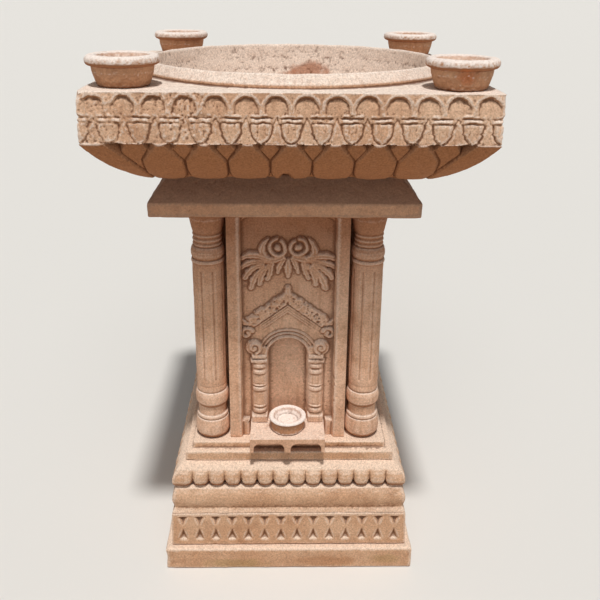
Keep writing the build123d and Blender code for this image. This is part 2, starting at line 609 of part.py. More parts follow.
def frieze_ground():
    """What is sunk on the front of the frieze: arch openings above, grooves round the buds below."""
    pitch = TRAY_WIDTH / ARCH_COUNT
    post = pitch / 2 - ARCH_RADIUS
    sill = FRIEZE_SILL - TRAY_FACE_HEIGHT
    ground = make_face(rectangle(post - TRAY_HALF, TRAY_HALF - post, sill, -CAP_DROP))
    openings, raised = [], []
    opening = outline((-ARCH_RADIUS, -CAP_DROP), (ARCH_RADIUS, -CAP_DROP), (ARCH_RADIUS, -ARCH_DROP),
                      (-ARCH_RADIUS, -ARCH_DROP, ARCH_RADIUS), (-ARCH_RADIUS, -CAP_DROP))
    leaf_shape = outline((-LEAF_WIDTH / 2, sill - 1), (LEAF_WIDTH / 2, sill - 1),
                         (0, -LEAF_DROP, LEAF_SWELL), (-LEAF_WIDTH / 2, sill - 1, LEAF_SWELL))
    for index in range(ARCH_COUNT):
        spot = Pos((index - (ARCH_COUNT - 1) / 2) * pitch, 0)
        openings.append(spot * make_face(opening))
        raised.append(spot * make_face(leaf_shape))
    for index in range(ARCH_COUNT + 1):
        x = (index - ARCH_COUNT / 2) * pitch
        raised.append(Pos(x, -CAP_DROP - CAP_HEIGHT / 2) * Rectangle(CAP_WIDTH, CAP_HEIGHT))
        raised.append(Pos(x, -COLLAR_DROP - COLLAR_HEIGHT / 2) * Rectangle(COLLAR_WIDTH, COLLAR_HEIGHT))
        raised.append(Pos(x, -BUD_DROP - BUD_HEIGHT / 2) * Ellipse(BUD_WIDTH / 2, BUD_HEIGHT / 2))
    sunk = (ground + openings) - raised
    return Pos(0, FRIEZE_RELIEF - TRAY_HALF, TRAY_TOP) * extrude(Plane.XZ * sunk, amount=FRIEZE_RELIEF + 1)


def lotus_tray():
    """The tray and its lotus underside are one stone, with a round bowl and a raised rim."""
    envelope = square_course((LOTUS_HALF, ABACUS_TOP), (TRAY_HALF, LOTUS_TOP, LOTUS_BULGE))
    backing = square_course((LOTUS_HALF - PETAL_RELIEF, ABACUS_TOP),
                            (TRAY_HALF - PETAL_RELIEF, LOTUS_TOP, LOTUS_BULGE))
    face = Pos(0, 0, (LOTUS_TOP + TRAY_TOP) / 2) * Box(TRAY_WIDTH, TRAY_WIDTH, TRAY_FACE_HEIGHT)
    face = face - round_sides(frieze_ground())
    rim = turned((RIM_RADIUS, TRAY_TOP), (RIM_RADIUS, TRAY_TOP + RIM_FACE_HEIGHT),
                 (BOWL_RADIUS + RIM_CREST, RIM_TOP))
    floor = RIM_TOP - BOWL_DEPTH
    bowl = turned((BOWL_FLOOR_RADIUS, floor),
                  (BOWL_RADIUS - BOWL_SHOULDER_INSET, RIM_TOP - BOWL_SHOULDER_DEPTH, BOWL_BELLY),
                  (BOWL_RADIUS, RIM_TOP, BOWL_MOUTH_SWELL), (BOWL_RADIUS, RIM_TOP + 1))
    stone = backing + lotus_petals(envelope) + face + Pos(BOWL_SHIFT, 0, 0) * rim
    return drill_dowel_holes(stone - Pos(BOWL_SHIFT, 0, 0) * bowl)


# ---------------------------------------------------------------- lamps
def lamp(radius, height, base_radius, cup_depth, lip):
    """A diya: a squat cup with a thick round lip, turned in one piece."""
    mouth = radius - 2 * lip
    return turned((base_radius, 0), (radius - lip, height - 2 * lip, LAMP_BELLY),
                  (radius - lip, height, lip), (mouth, height - lip, lip * (1 - math.sqrt(0.5))),
                  (CUP_FLOOR_SHARE * mouth, height - cup_depth, -CUP_BELLY))


def corner_lamp(side_x, side_y, offset_x, offset_y):
    reach = TRAY_HALF - LAMP_INSET
    place = Pos(side_x * reach + offset_x * LAMP_RADIUS, side_y * reach + offset_y * LAMP_RADIUS, TRAY_TOP)
    return place * lamp(LAMP_RADIUS, LAMP_HEIGHT, LAMP_BASE_RADIUS, LAMP_CUP_DEPTH, LAMP_LIP)


def shelf_lamp():
    y = -(PANEL_FACE + SHELF_PROJECTION) + SHELF_LAMP_SETBACK
    return Pos(SHAFT_SHIFT, y, SHAFT_FOOT + NICHE_SILL) * lamp(
        SHELF_LAMP_RADIUS, SHELF_LAMP_HEIGHT, SHELF_LAMP_BASE_RADIUS, SHELF_LAMP_CUP_DEPTH, SHELF_LAMP_LIP)


# ---------------------------------------------------------------- assembly
def main():
    os.makedirs("parts", exist_ok=True)
    save(plinth_slab(), "plinth_slab")
    save(diamond_course(), "diamond_course")
    save(round_course(), "round_course")
    save(gadroon_course(), "gadroon_course")
    save(stepped_course(), "stepped_course")
    save(shaft_core(), "shaft_core")
    shelf_panel, plain_panel = panel(False), panel(True)
    for turn, name in enumerate(("front", "right", "back", "left")):
        side_panel = plain_panel if turn else shelf_panel
        save(Pos(SHAFT_SHIFT, 0, 0) * side_panel.rotate(Axis.Z, 90 * turn), f"panel_{name}")
    corner_column = column()
    for side_x, name_x in ((-1, "left"), (1, "right")):
        for side_y, name_y in ((-1, "front"), (1, "back")):
            place = Pos(side_x * COLUMN_AXIS + SHAFT_SHIFT, side_y * COLUMN_AXIS, 0)
            save(place * corner_column, f"column_{name_y}_{name_x}")
    save(Pos(SHAFT_SHIFT, 0, 0) * lamp_shelf(), "lamp_shelf")
    save(abacus(), "abacus")
    save(lotus_tray(), "lotus_tray")
    save(joint_dowels(), "joint_dowels")
    for name, place in LAMP_PLACES.items():
        save(corner_lamp(*place), f"lamp_{name}")
    save(shelf_lamp(), "lamp_shelf_front")


main()
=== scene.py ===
import functools
import itertools
import math

import bpy
import numpy as np
from mathutils import Matrix, Vector


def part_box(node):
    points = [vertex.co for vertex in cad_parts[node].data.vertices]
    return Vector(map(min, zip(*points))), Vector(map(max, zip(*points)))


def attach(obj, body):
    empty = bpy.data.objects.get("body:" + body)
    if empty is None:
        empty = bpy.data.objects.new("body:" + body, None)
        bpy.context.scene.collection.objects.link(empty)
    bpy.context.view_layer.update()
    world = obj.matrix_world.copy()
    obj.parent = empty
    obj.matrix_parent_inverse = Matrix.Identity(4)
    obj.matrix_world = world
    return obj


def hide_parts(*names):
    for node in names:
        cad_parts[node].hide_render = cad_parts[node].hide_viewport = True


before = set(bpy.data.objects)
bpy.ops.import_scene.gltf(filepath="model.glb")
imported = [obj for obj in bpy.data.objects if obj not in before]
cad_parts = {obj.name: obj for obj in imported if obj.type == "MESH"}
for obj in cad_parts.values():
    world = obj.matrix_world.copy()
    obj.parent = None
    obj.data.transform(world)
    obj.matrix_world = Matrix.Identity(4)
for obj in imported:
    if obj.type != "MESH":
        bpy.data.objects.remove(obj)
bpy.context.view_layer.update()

# Mesh code works in millimetres; meshes are made in metres.
MM = 0.001

# Mesh spacing, mm
FINE = 1.25
COARSE = 1.7
COLUMN_SPACING = 1.3
LAMP_SPACING = 1.1
SHELF_VOXEL = 1.1
FRONT_PANEL_STEP = 1.0
OTHER_PANEL_STEP = 1.5


# -------- sizes from the frame
def node_box(node):
    low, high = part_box(node)
    return np.array(low) / MM, np.array(high) / MM


def top_of(node):
    return node_box(node)[1][2]


def half_of(node):
    low, high = node_box(node)
    return (high[0] - low[0]) / 2


def middle_of(node):
    low, high = node_box(node)
    return (low + high) / 2


SLAB_TOP = top_of("plinth_slab")
DIAMOND_TOP = top_of("diamond_course")
ROUND_TOP = top_of("round_course")
GADROON_TOP = top_of("gadroon_course")
SHAFT_FOOT = top_of("stepped_course")
SHAFT_TOP = top_of("shaft_core")
ABACUS_TOP = top_of("abacus")
RIM_TOP = top_of("lotus_tray")
TRAY_TOP = node_box("lamp_back_left")[0][2]

SLAB_HALF = half_of("plinth_slab")
DIAMOND_HALF = half_of("diamond_course")
GADROON_HALF = half_of("gadroon_course")
STEP_HALF = half_of("stepped_course")
ABACUS_HALF = half_of("abacus")
TRAY_HALF = half_of("lotus_tray")
SHAFT_X = middle_of("shaft_core")[0]
ABACUS_X = middle_of("abacus")[0]
PANEL_HALF = half_of("shaft_core")
PANEL_FACE = -node_box("panel_front")[0][1]

# -------- sizes of the carving, mm
DIAMOND_TOP_HALF = half_of("round_course")
DIAMOND_COUNT = 14
DIAMOND_PITCH = 30.4
PIT_HALF_WIDTH = 9.6
PIT_DEPTH = 8.0
UPPER_PIT_LEVELS = (107.0, 85.5)    # base, point
LOWER_PIT_LEVELS = (56.5, 83.5)

ROUND_SETBACK = 5.0
NECK_SETBACK = 11.0
GADROON_COUNT = 14
GADROON_SWELL = 7.0
GADROON_LOBE = 19.3         # radius of a lobe's face
NOTCH_HALF_WIDTH = 7.5
NOTCH_HEIGHT = 16.0
NOTCH_DEPTH = 10.0

LOWER_STEP_RISE = 18.5
STEP_TREAD = 14.0
ABACUS_FACE = 26.0
ABACUS_RUN = 33.0

LOTUS_FOOT_HALF = 215.0
LOTUS_RISE = 73.5
LOTUS_BULGE = 13.0
PETAL_COUNT = 7
PETAL_PITCH = 63.5

ARCH_COUNT = 14
ARCH_DROP = 23.5            # from the tray's top edge down to the arches' centres
ARCH_OPENING = 18.2

UNDERSIDE_ROWS = 96

BOWL_X = 5.0
RIM_RADIUS = 268.0
RIM_FACE = 6.5
BOWL_RADIUS = 251.5
BOWL_DEPTH = 135.5
BOWL_FLOOR_RADIUS = 158.0
BOWL_SHOULDER = (236.5, 73.5)       # radius, depth below the rim

STRIP_WIDTH = 22.0
FIELD_DEPTH = 20.0
NICHE_HALF = 36.0
NICHE_DEPTH = 14.0
NICHE_CROWN = 196.7
NICHE_SPRING = NICHE_CROWN - NICHE_HALF
NICHE_SILL = 30.0
PILASTER_X = 51.5
BLOCK_DEPTH = 18.0

# -------- noise
LATTICE_SIZE = 64
LATTICE = np.random.default_rng(20).random((LATTICE_SIZE,) * 3)
LAYER_SHIFT = np.array([11.37, 5.73, 8.19])


def value_noise(points, size, seed=0):
    """Smooth noise from -1 to 1; size is the width of one lump."""
    place = points / size + LAYER_SHIFT * (seed + 1)
    cell = np.floor(place).astype(np.int64)
    part = place - cell
    part = part * part * (3 - 2 * part)
    total = np.zeros(points.shape[:-1])
    for step in itertools.product((0, 1), repeat=3):
        i, j, k = np.moveaxis((cell + step) % LATTICE_SIZE, -1, 0)
        total += LATTICE[i, j, k] * np.prod(np.where(step, part, 1 - part), axis=-1)
    return 2 * total - 1


def fractal_noise(points, size, layers, seed=0):
    total = np.zeros(points.shape[:-1])
    for layer in range(layers):
        total += value_noise(points, size / 2**layer, seed + layer) / 2**layer
    return total


def strewn_pits(points, size, share, seed=0):
    """Hollows strewn at random: 1 at a hollow's middle, 0 outside it. Share of the cells hold one."""
    place = points / size + LAYER_SHIFT * (seed + 1)
    cell = np.floor(place).astype(np.int64)
    deepest = np.zeros(points.shape[:-1])
    for step in itertools.product((-1, 0, 1), repeat=3):
        near = cell + step
        i, j, k = np.moveaxis(near % LATTICE_SIZE, -1, 0)
        centre = near + np.stack([LATTICE[i, j, k], LATTICE[j, k, i], LATTICE[k, i, j]], axis=-1)
        reach = 0.2 + 0.35 * LATTICE[(i + 11) % LATTICE_SIZE, j, k]
        there = LATTICE[i, (j + 23) % LATTICE_SIZE, k] < share
        gap = np.linalg.norm(place - centre, axis=-1)
        deepest = np.maximum(deepest, there * unit(1 - gap / reach))
    return deepest


def unit(value):
    return np.clip(value, 0, 1)


def ease(value, low, high):
    """Smoothly from 0 at low to 1 at high."""
    t = unit((value - low) / (high - low))
    return t * t * (3 - 2 * t)


def bump(value, middle, half):
    """1 at the middle, 0 from half a width away."""
    return unit(1 - np.abs(value - middle) / half)


def span(value, rise, full, fall, end):
    """0 up to rise, 1 from full to fall, and 0 again from end on."""
    return ease(value, rise, full) * (1 - ease(value, fall, end))


def rounded(gap, half):
    """Section of a round ridge: 1 on its middle line, 0 from half its width away."""
    return np.sqrt(unit(1 - (gap / half) ** 2))


def highest(*layers):
    return functools.reduce(np.maximum, layers)


def table(value, rows):
    return np.interp(value, *zip(*rows))


def on_plane(x, z):
    """Points of a carved face, for noise that follows it."""
    return np.stack([x + 0 * z, 0 * x + 0 * z, z + 0 * x], -1)


# -------- grids of points
def neighbours(grid, wrap):
    """The points to the left, to the right, below and above; an outermost point is its own neighbour."""
    wide = np.pad(grid, ((0, 0), (1, 1), (0, 0)), "wrap" if wrap else "edge")
    tall = np.pad(grid, ((1, 1), (0, 0), (0, 0)), "edge")
    return wide[:, :-2], wide[:, 2:], tall[:-2], tall[2:]


def grid_normals(grid, wrap):
    left, right, below, above = neighbours(grid, wrap)
    normal = np.cross(right - left, above - below)
    return normal / np.maximum(np.linalg.norm(normal, axis=-1, keepdims=True), 1e-9)


def neighbour_mean(grid, wrap):
    return sum(neighbours(grid, wrap)) / 4


def wear_down(grid, wrap, passes, seed=0):
    """Rubs arrises round and fills sharp hollows, in some places more than in others."""
    patchy = 0.55 + 0.45 * value_noise(grid, 45, seed)
    for _ in range(passes):
        normal = grid_normals(grid, wrap)
        offset = ((neighbour_mean(grid, wrap) - grid) * normal).sum(-1)
        grid = grid + normal * (offset * patchy)[..., None]
    return grid


def roughen(grid, wrap, amount, pitted, seed=0):
    """Waves, grain and pits of weathered sandstone, along the surface normals."""
    normal = grid_normals(grid, wrap)
    offset = amount * (0.75 * fractal_noise(grid, 26, 3, seed) + 0.22 * fractal_noise(grid, 3.4, 2, seed + 5))
    if pitted:
        where = 0.5 + 0.5 * value_noise(grid, 60, seed + 9)
        offset -= pitted * where * (1.5 * strewn_pits(grid, 11, 0.35, seed + 3)
                                    + 0.9 * strewn_pits(grid, 5, 0.4, seed + 4))
    return grid + normal * offset[..., None]


def weather(grid, rub, rough, pitted, seed, wrap=True):
    return roughen(wear_down(grid, wrap, rub, seed), wrap, rough, pitted, seed)


def hollowness(grid, wrap):
    """From -1 on arrises to 1 in hollows, from a fine and a broad comparison with the smoothed surface."""
    normal = grid_normals(grid, wrap)
    total = np.zeros(grid.shape[:2])
    soft = grid
    for passes, scale in ((5, 0.35), (30, 1.6)):
        for _ in range(passes):
            soft = neighbour_mean(soft, wrap)
        total += 0.5 * np.clip(((soft - grid) * normal).sum(-1) / scale, -1, 1)
    return total


# -------- meshes
def mesh_from(name, points, faces, hollow):
    """A smooth mesh in metres; faces is a list of index arrays, each with one face a row."""
    mesh = bpy.data.meshes.new(name)
    loops = np.concatenate([f.ravel() for f in faces])
    sizes = np.concatenate([np.full(len(f), f.shape[1]) for f in faces])
    mesh.vertices.add(len(points))
    mesh.loops.add(len(loops))
    mesh.polygons.add(len(sizes))
    mesh.vertices.foreach_set("co", (points * MM).astype(np.float32).ravel())
    mesh.loops.foreach_set("vertex_index", loops.astype(np.int32))
    mesh.polygons.foreach_set("loop_start", np.concatenate([[0], np.cumsum(sizes)[:-1]]).astype(np.int32))
    mesh.polygons.foreach_set("use_smooth", np.ones(len(sizes), bool))
    mesh.update(calc_edges=True)
    mesh.attributes.new("hollow", "FLOAT", "POINT").data.foreach_set("value", hollow.astype(np.float32))
    return mesh


def strip_faces(low, high):
    """Faces between two closed rows of point numbers; the upper one may have fewer by a whole factor."""
    ratio = len(low) // len(high)
    fine = [np.roll(low, -k)[::ratio] for k in range(ratio + 1)]
    return np.stack([*fine, np.roll(high, -1), high], -1)


def ring_mesh(name, bands, shaded=0):
    """A closed mesh of stacked rings: grids of rows and columns, joined, with both ends fanned shut.
    The first rows, as many as are sheltered, have no worn arrises."""
    faces, points, hollow, last, start = [], [], [], None, 0
    for grid in bands:
        rows, columns = grid.shape[:2]
        index = start + np.arange(rows * columns).reshape(rows, columns)
        if last is not None:
            faces.append(strip_faces(last, index[0]))
        right = np.roll(index, -1, 1)
        faces.append(np.stack([index[:-1], right[:-1], right[1:], index[1:]], -1).reshape(-1, 4))
        points.append(grid.reshape(-1, 3))
        worn = hollowness(grid, True)
        worn[:shaded] = np.maximum(worn[:shaded], 0)
        hollow.append(worn.ravel())
        shaded = 0
        last, start = index[-1], start + rows * columns
    first = np.arange(bands[0].shape[1])
    ends = [bands[0][0].mean(0), bands[-1][-1].mean(0)]
    points.append(np.array(ends))
    hollow.append(np.zeros(2))
    faces.append(np.stack([np.roll(first, -1), first, np.full(len(first), start)], -1))
    faces.append(np.stack([last, np.roll(last, -1), np.full(len(last), start + 1)], -1))
    return mesh_from(name, np.concatenate(points), faces, np.concatenate(hollow))


def slab_mesh(name, grid, outward, back):
    """A carved face whose edges are carried straight back, to a flat back at that place along outward."""
    rows, columns = grid.shape[:2]
    index = np.arange(rows * columns).reshape(rows, columns)
    quads = np.stack([index[:-1, :-1], index[:-1, 1:], index[1:, 1:], index[1:, :-1]], -1).reshape(-1, 4)
    edge = np.concatenate([index[0, :-1], index[:-1, -1], index[-1, :0:-1], index[:0:-1, 0]])
    points = grid.reshape(-1, 3)
    behind = rows * columns + np.arange(len(edge))
    ahead = points[edge]
    depth = (back - ahead @ outward)[:, None] * outward
    sides = np.stack([np.roll(edge, -1), edge, behind, np.roll(behind, -1)], -1)
    hollow = np.concatenate([hollowness(grid, False).ravel(), np.zeros(len(edge))])
    faces = [quads, sides, behind[None, ::-1]]
    return mesh_from(name, np.concatenate([points, ahead + depth]), faces, hollow)


def keep_inside(mesh, node):
    """Holds a piece within its CAD node's box."""
    low, high = node_box(node)
    mesh.vertices.foreach_set("co", np.clip(vertex_values(mesh, "co"), low * MM, high * MM).ravel())
    mesh.update()


def add_object(name, data):
    made = bpy.data.objects.new(name, data)
    bpy.context.scene.collection.objects.link(made)
    return made


def add_piece(name, mesh, nodes, slot, body="root"):
    keep_inside(mesh, nodes[0])
    piece = add_object(name, mesh)
    mesh.materials.append(STONES[slot])
    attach(piece, body)
    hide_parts(*nodes)


# -------- outlines
def resample(corners, spacing):
    """Points along straight runs through the corners, no further apart than spacing; corners are kept."""
    out = []
    for a, b in zip(corners, corners[1:]):
        a, b = np.array(a, float), np.array(b, float)
        count = max(1, math.ceil(np.linalg.norm(b - a) / spacing))
        out += [a + (b - a) * k / count for k in range(count)]
    out.append(np.array(corners[-1], float))
    return np.array(out)


def arc(low, high, swell):
    """Points of a shallow arc between two (half-width, level) points that bows outwards by swell."""
    (h0, z0), (h1, z1) = low, high
    return [(h0 + (h1 - h0) * t + swell * math.sin(math.pi * t), z0 + (z1 - z0) * t)
            for t in np.linspace(0, 1, 11)]


def quarter_turns(side):
    """The points of one side, and the same points turned onto the other three."""
    quarters = []
    for _ in range(4):
        quarters.append(side)
        side = np.stack([-side[..., 1], side[..., 0], side[..., 2]], -1)
    return np.concatenate(quarters, 1)


def along_side(columns):
    """Places along one side of a square course, from -1 at its left end."""
    return np.arange(columns) / columns * 2 - 1


def square_rings(corners, columns, relief=None, spacing=FINE):
    """Rings of a square course, for an outline through (half-width, level) corners.
    relief(x, z) gives how far the face stands out at x along a side."""
    half, level = resample(corners, spacing).T[:, :, None]
    along = along_side(columns)
    depth = relief(half * along, level + 0 * along) if relief else np.zeros((len(half), columns))
    x = along * (half + depth[:, :1])
    return quarter_turns(np.stack([x, -(half + depth), level + 0 * x], -1))


def columns_for(half, spacing):
    """Columns along one side, a whole number of 16s so that rings can be thinned out."""
    return 16 * max(4, round(2 * half / spacing / 16))


def full_turn(count):
    return np.arange(count) / count * 2 * math.pi


def turned(radius, level, angle, x=0.0, y=0.0):
    """Rings of points about an upright axis."""
    level = level + 0 * (radius + angle)
    return np.stack([x + radius * np.cos(angle), y + radius * np.sin(angle), level], -1)


# -------- materials
def srgb(red, green, blue):
    """A colour given as 0 to 255 screen values, as the linear colour of a shader."""
    def linear(value):
        value /= 255
        return value / 12.92 if value <= 0.04045 else ((value + 0.055) / 1.055) ** 2.4
    return (linear(red), linear(green), linear(blue), 1.0)


def add_node(tree, kind, inputs=None, **settings):
    made = tree.nodes.new("ShaderNode" + kind)
    for key, value in settings.items():
        setattr(made, key, value)
    for key, value in (inputs or {}).items():
        if isinstance(value, bpy.types.NodeSocket):
            tree.links.new(value, made.inputs[key])
        else:
            made.inputs[key].default_value = value
    return made


def noise_node(tree, where, scale, detail=3.0, roughness=0.55):
    inputs = {"Vector": where, "Scale": scale, "Detail": detail, "Roughness": roughness}
    return add_node(tree, "TexNoise", inputs).outputs["Fac"]


def ramp(tree, value, low, high):
    """value carried from low..high to 0..1, and clamped."""
    inputs = {"Value": value, "From Min": low, "From Max": high}
    return add_node(tree, "MapRange", inputs, interpolation_type="SMOOTHSTEP").outputs["Result"]


def math_node(tree, operation, a, b):
    return add_node(tree, "Math", {0: a, 1: b}, operation=operation).outputs["Value"]


def mix(tree, factor, a, b, mode="MIX"):
    return add_node(tree, "Mix", {0: factor, 6: a, 7: b}, data_type="RGBA", blend_type=mode).outputs[2]


def times(tree, a, b):
    return math_node(tree, "MULTIPLY", a, b)


def vector_node(tree, operation, *inputs):
    return add_node(tree, "VectorMath", dict(enumerate(inputs)), operation=operation).outputs


def stretched(tree, where, scale):
    return add_node(tree, "Mapping", {"Vector": where, "Scale": scale}).outputs["Vector"]


def new_material(name):
    """A material without nodes, and its node tree."""
    material = bpy.data.materials.new(name)
    material.use_nodes = True
    material.node_tree.nodes.clear()
    return material, material.node_tree


def surface(tree, colour, roughness, others=None):
    inputs = {"Base Color": colour, "Roughness": roughness, **(others or {})}
    shader = add_node(tree, "BsdfPrincipled", inputs)
    add_node(tree, "OutputMaterial", {"Surface": shader.outputs["BSDF"]}).is_active_output = True


def stain_mask(tree, where, ragged, place, reach):
    """A ragged blot: 1 at its place, 0 beyond its reach."""
    offset = vector_node(tree, "SUBTRACT", where, place)[0]
    distance = vector_node(tree, "LENGTH", vector_node(tree, "DIVIDE", offset, reach)[0])["Value"]
    return ramp(tree, math_node(tree, "ADD", distance, times(tree, ragged, 1.3)), 1.6, 1.05)


def bowl_light_mask(tree, where, level, bowl):
    """1 inside a bowl, given as its middle's x, its radius and its lowest level; there light is painted in as
    a paler colour.
    """
    middle, radius, lowest = bowl
    flat = vector_node(tree, "MULTIPLY", where, (1.0, 1.0, 0.0))[0]
    offset = vector_node(tree, "SUBTRACT", flat, (middle, 0.0, 0.0))[0]
    distance = vector_node(tree, "LENGTH", offset)["Value"]
    above = ramp(tree, level, lowest - 0.006, lowest - 0.003)
    return times(tree, ramp(tree, distance, radius + 0.002, radius), above)


def clouded(tree, where, patches, base, dark, pale):
    """The stone's own colour, in clouds, patches and beds."""
    bedding = noise_node(tree, stretched(tree, where, (1.0, 1.0, 7.0)), 14.0)
    colour = mix(tree, ramp(tree, noise_node(tree, where, 9.0, 4.0), 0.35, 0.68), base, pale)
    colour = mix(tree, times(tree, ramp(tree, patches, 0.45, 0.75), 0.45), colour, dark)
    return mix(tree, times(tree, ramp(tree, bedding, 0.5, 0.8), 0.22), colour, dark)


def grained(tree, where, sand, colour, dark, grain):
    """The colour with light and dark grains of sand in it."""
    grainy = add_node(tree, "MapRange", {"Value": sand, "From Min": 0.25, "From Max": 0.75,
                                         "To Min": 1 - 0.24 * grain, "To Max": 1 + 0.2 * grain})
    colour = mix(tree, 1.0, colour, grainy.outputs["Result"], "MULTIPLY")
    specks = noise_node(tree, where, 620.0, 2.0, 0.6)
    return mix(tree, times(tree, ramp(tree, specks, 0.62, 0.74), 0.4 * grain), colour, dark)


def sandy_bump(tree, where, sand):
    pits = add_node(tree, "TexVoronoi", {"Vector": where, "Scale": 210.0}).outputs["Distance"]
    height = math_node(tree, "ADD", sand, times(tree, ramp(tree, pits, 0.05, 0.3), 0.5))
    return add_node(tree, "Bump", {"Height": height, "Strength": 0.6, "Distance": 0.001}).outputs["Normal"]


def sandstone(name, colours, grime_and_shade=0.8, grain=1.0, streaks=0.0, wear=0.5, stains=(), bowl=None,
              shaded=None):
    """Weathered sandstone: cloudy colour, sandy grain, pale ledges (part pale dust, part painted light on
    upward faces), painted shade on undersides, hollows darkened by dirt and painted shade, pale worn arrises.
    """
    base, dark, pale, under, ledge_dust_light_and_wear, dirt_and_shade = (srgb(*colour) for colour in (*colours, DIRT_AND_SHADE))
    material, tree = new_material(name)
    where = add_node(tree, "TexCoord").outputs["Object"]
    level = add_node(tree, "SeparateXYZ", {0: where}).outputs["Z"]
    upward = add_node(tree, "SeparateXYZ", {0: add_node(tree, "NewGeometry").outputs["Normal"]}).outputs["Z"]
    hollow = add_node(tree, "Attribute", attribute_name="hollow").outputs["Fac"]
    patches = noise_node(tree, where, 34.0, 4.0, 0.6)
    rain = noise_node(tree, stretched(tree, where, (1.0, 1.0, 0.08)), 120.0)
    sand = noise_node(tree, where, 330.0, 4.0, 0.75)

    # What lies over the stone's own colour, from the bottom up: mask, strength, colour
    # Upward faces take the pale ledge colour: partly pale dust, partly painted light on tops.
    dust_and_top_light = times(tree, ramp(tree, upward, 0.2, 0.75), ramp(tree, patches, 0.05, 0.35))
    # Downward faces take the underside colour: painted shade.
    layers = [(ramp(tree, upward, -0.2, -0.55), 0.88, under), (dust_and_top_light, 0.95, ledge_dust_light_and_wear)]
    # Painted shade: between the given levels the colour turns to the underside colour, for the shadow under an
    # overhang.
    if shaded:
        layers.append((ramp(tree, level, *shaded), 0.88, under))
    layers.append((ramp(tree, rain, 0.48, 0.72), streaks, dark))
    # Painted light: the bowl's inside takes the pale ledge colour.
    if bowl:
        layers.append((bowl_light_mask(tree, where, level, bowl), 0.85, ledge_dust_light_and_wear))
    for place, reach, strength, colour in stains:
        layers.append((stain_mask(tree, where, patches, place, reach), strength, srgb(*colour)))
    # Hollows darken with dirt and painted shade; arrises turn pale with wear.
    worn = times(tree, ramp(tree, hollow, -0.2, -0.8), ramp(tree, upward, -0.5, -0.1))
    layers += [(ramp(tree, hollow, 0.05, 0.85), grime_and_shade, dirt_and_shade), (worn, wear, ledge_dust_light_and_wear)]

    colour = clouded(tree, where, patches, base, dark, pale)
    for mask, strength, tint in layers:
        colour = mix(tree, times(tree, mask, strength), colour, tint)
    surface(tree, grained(tree, where, sand, colour, dark, grain), 0.92,
            {"Specular IOR Level": 0.15, "Normal": sandy_bump(tree, where, sand)})
    return material


# Screen colours, 0 to 255; a stone has its own, a dark and a pale one, its undersides' colour (painted shade)
# and its ledges' colour (pale dust, painted light on tops and in the bowl, and wear on arrises).
# A stain has a place and a reach in metres, a strength and a colour.
# Dark colour of hollows: partly dirt, partly painted shade in creases and pits.
DIRT_AND_SHADE = (104, 62, 38)
FLAKED = (170, 104, 66)
MOSS = (158, 134, 82)
STONES = {
    "base_stone": sandstone(
        "base_sandstone",
        ((205, 160, 126), (168, 118, 84), (218, 178, 146), (160, 104, 70), (234, 209, 188)),
        grime_and_shade=0.65, grain=1.8,
        stains=(((-0.10, -0.232, 0.010), (0.07, 0.03, 0.016), 0.4, MOSS),
                ((0.06, -0.232, 0.016), (0.09, 0.03, 0.016), 0.45, (166, 112, 70)),
                ((0.18, -0.232, 0.02), (0.04, 0.03, 0.014), 0.35, MOSS),
                ((-0.13, -0.21, 0.18), (0.05, 0.05, 0.012), 0.3, FLAKED))),
    # The shaft darkens towards its top, from 0.46 m to 0.70 m: painted shade of the tray and abacus.
    "shaft_stone": sandstone(
        "shaft_sandstone",
        ((221, 176, 145), (178, 128, 96), (232, 192, 164), (156, 100, 66), (236, 212, 194)),
        grime_and_shade=0.6, grain=1.6, streaks=0.35, wear=0.35, shaded=(0.46, 0.70)),
    # The abacus is a darker copy of the stone, with a dark ledge colour: painted shade under the tray.
    "abacus_stone": sandstone(
        "abacus_shaded_sandstone",
        ((190, 143, 112), (150, 106, 80), (202, 158, 127), (140, 92, 64), (164, 132, 112)), grain=1.2),
    # The tray's underside, below its carved face, takes the underside colour: painted shade.
    "tray_stone": sandstone(
        "tray_sandstone",
        ((214, 170, 138), (166, 116, 84), (228, 190, 160), (156, 103, 67), (246, 230, 217)),
        grain=1.8, streaks=0.25, bowl=(0.005, 0.2525, 0.79), shaded=(0.8315, 0.8285),
        stains=(((0.045, 0.235, 0.872), (0.055, 0.05, 0.022), 0.75, FLAKED),
                ((0.0, 0.24, 0.862), (0.03, 0.05, 0.012), 0.6, FLAKED))),
    "lamp_stone": sandstone(
        "lamp_sandstone",
        ((194, 144, 110), (158, 106, 74), (208, 162, 128), (150, 98, 66), (250, 238, 230)),
        grime_and_shade=0.6, streaks=0.3, wear=1.0,
        stains=(((0.25, -0.30, 0.925), (0.028, 0.03, 0.02), 0.7, (190, 104, 56)),)),
}


# -------- base courses
def finish_course(node, rings, rub, rough, pitted, seed, slot="base_stone", name=None):
    name = name or f"{node}_stone"
    add_piece(name, ring_mesh(name, [weather(rings, rub, rough, pitted, seed)]), [node], slot)


def blunt(points, corner, reach, pull):
    """Rubs one corner round, over a ragged reach."""
    near = np.linalg.norm(points - np.array(corner), axis=-1)
    depth = np.clip(reach * (1 + 0.2 * value_noise(points, 9, 3)) - near, 0, None)
    return points + depth[..., None] * np.array(pull)


def plinth_slab():
    half, face = SLAB_HALF, SLAB_HALF - 0.6
    outline = [(half - 8, 0.3), (half - 2, 0.3), (face, 2), (face, SLAB_TOP - 2.5), (half - 3, SLAB_TOP),
               (DIAMOND_HALF - 12, SLAB_TOP)]
    rings = square_rings(outline, columns_for(half, COARSE))
    rings = blunt(rings, (-half, -half, SLAB_TOP / 2), 28, (0.12, 0.12, 0.0))
    finish_course("plinth_slab", rings, 4, 0.8, 0.6, 1)


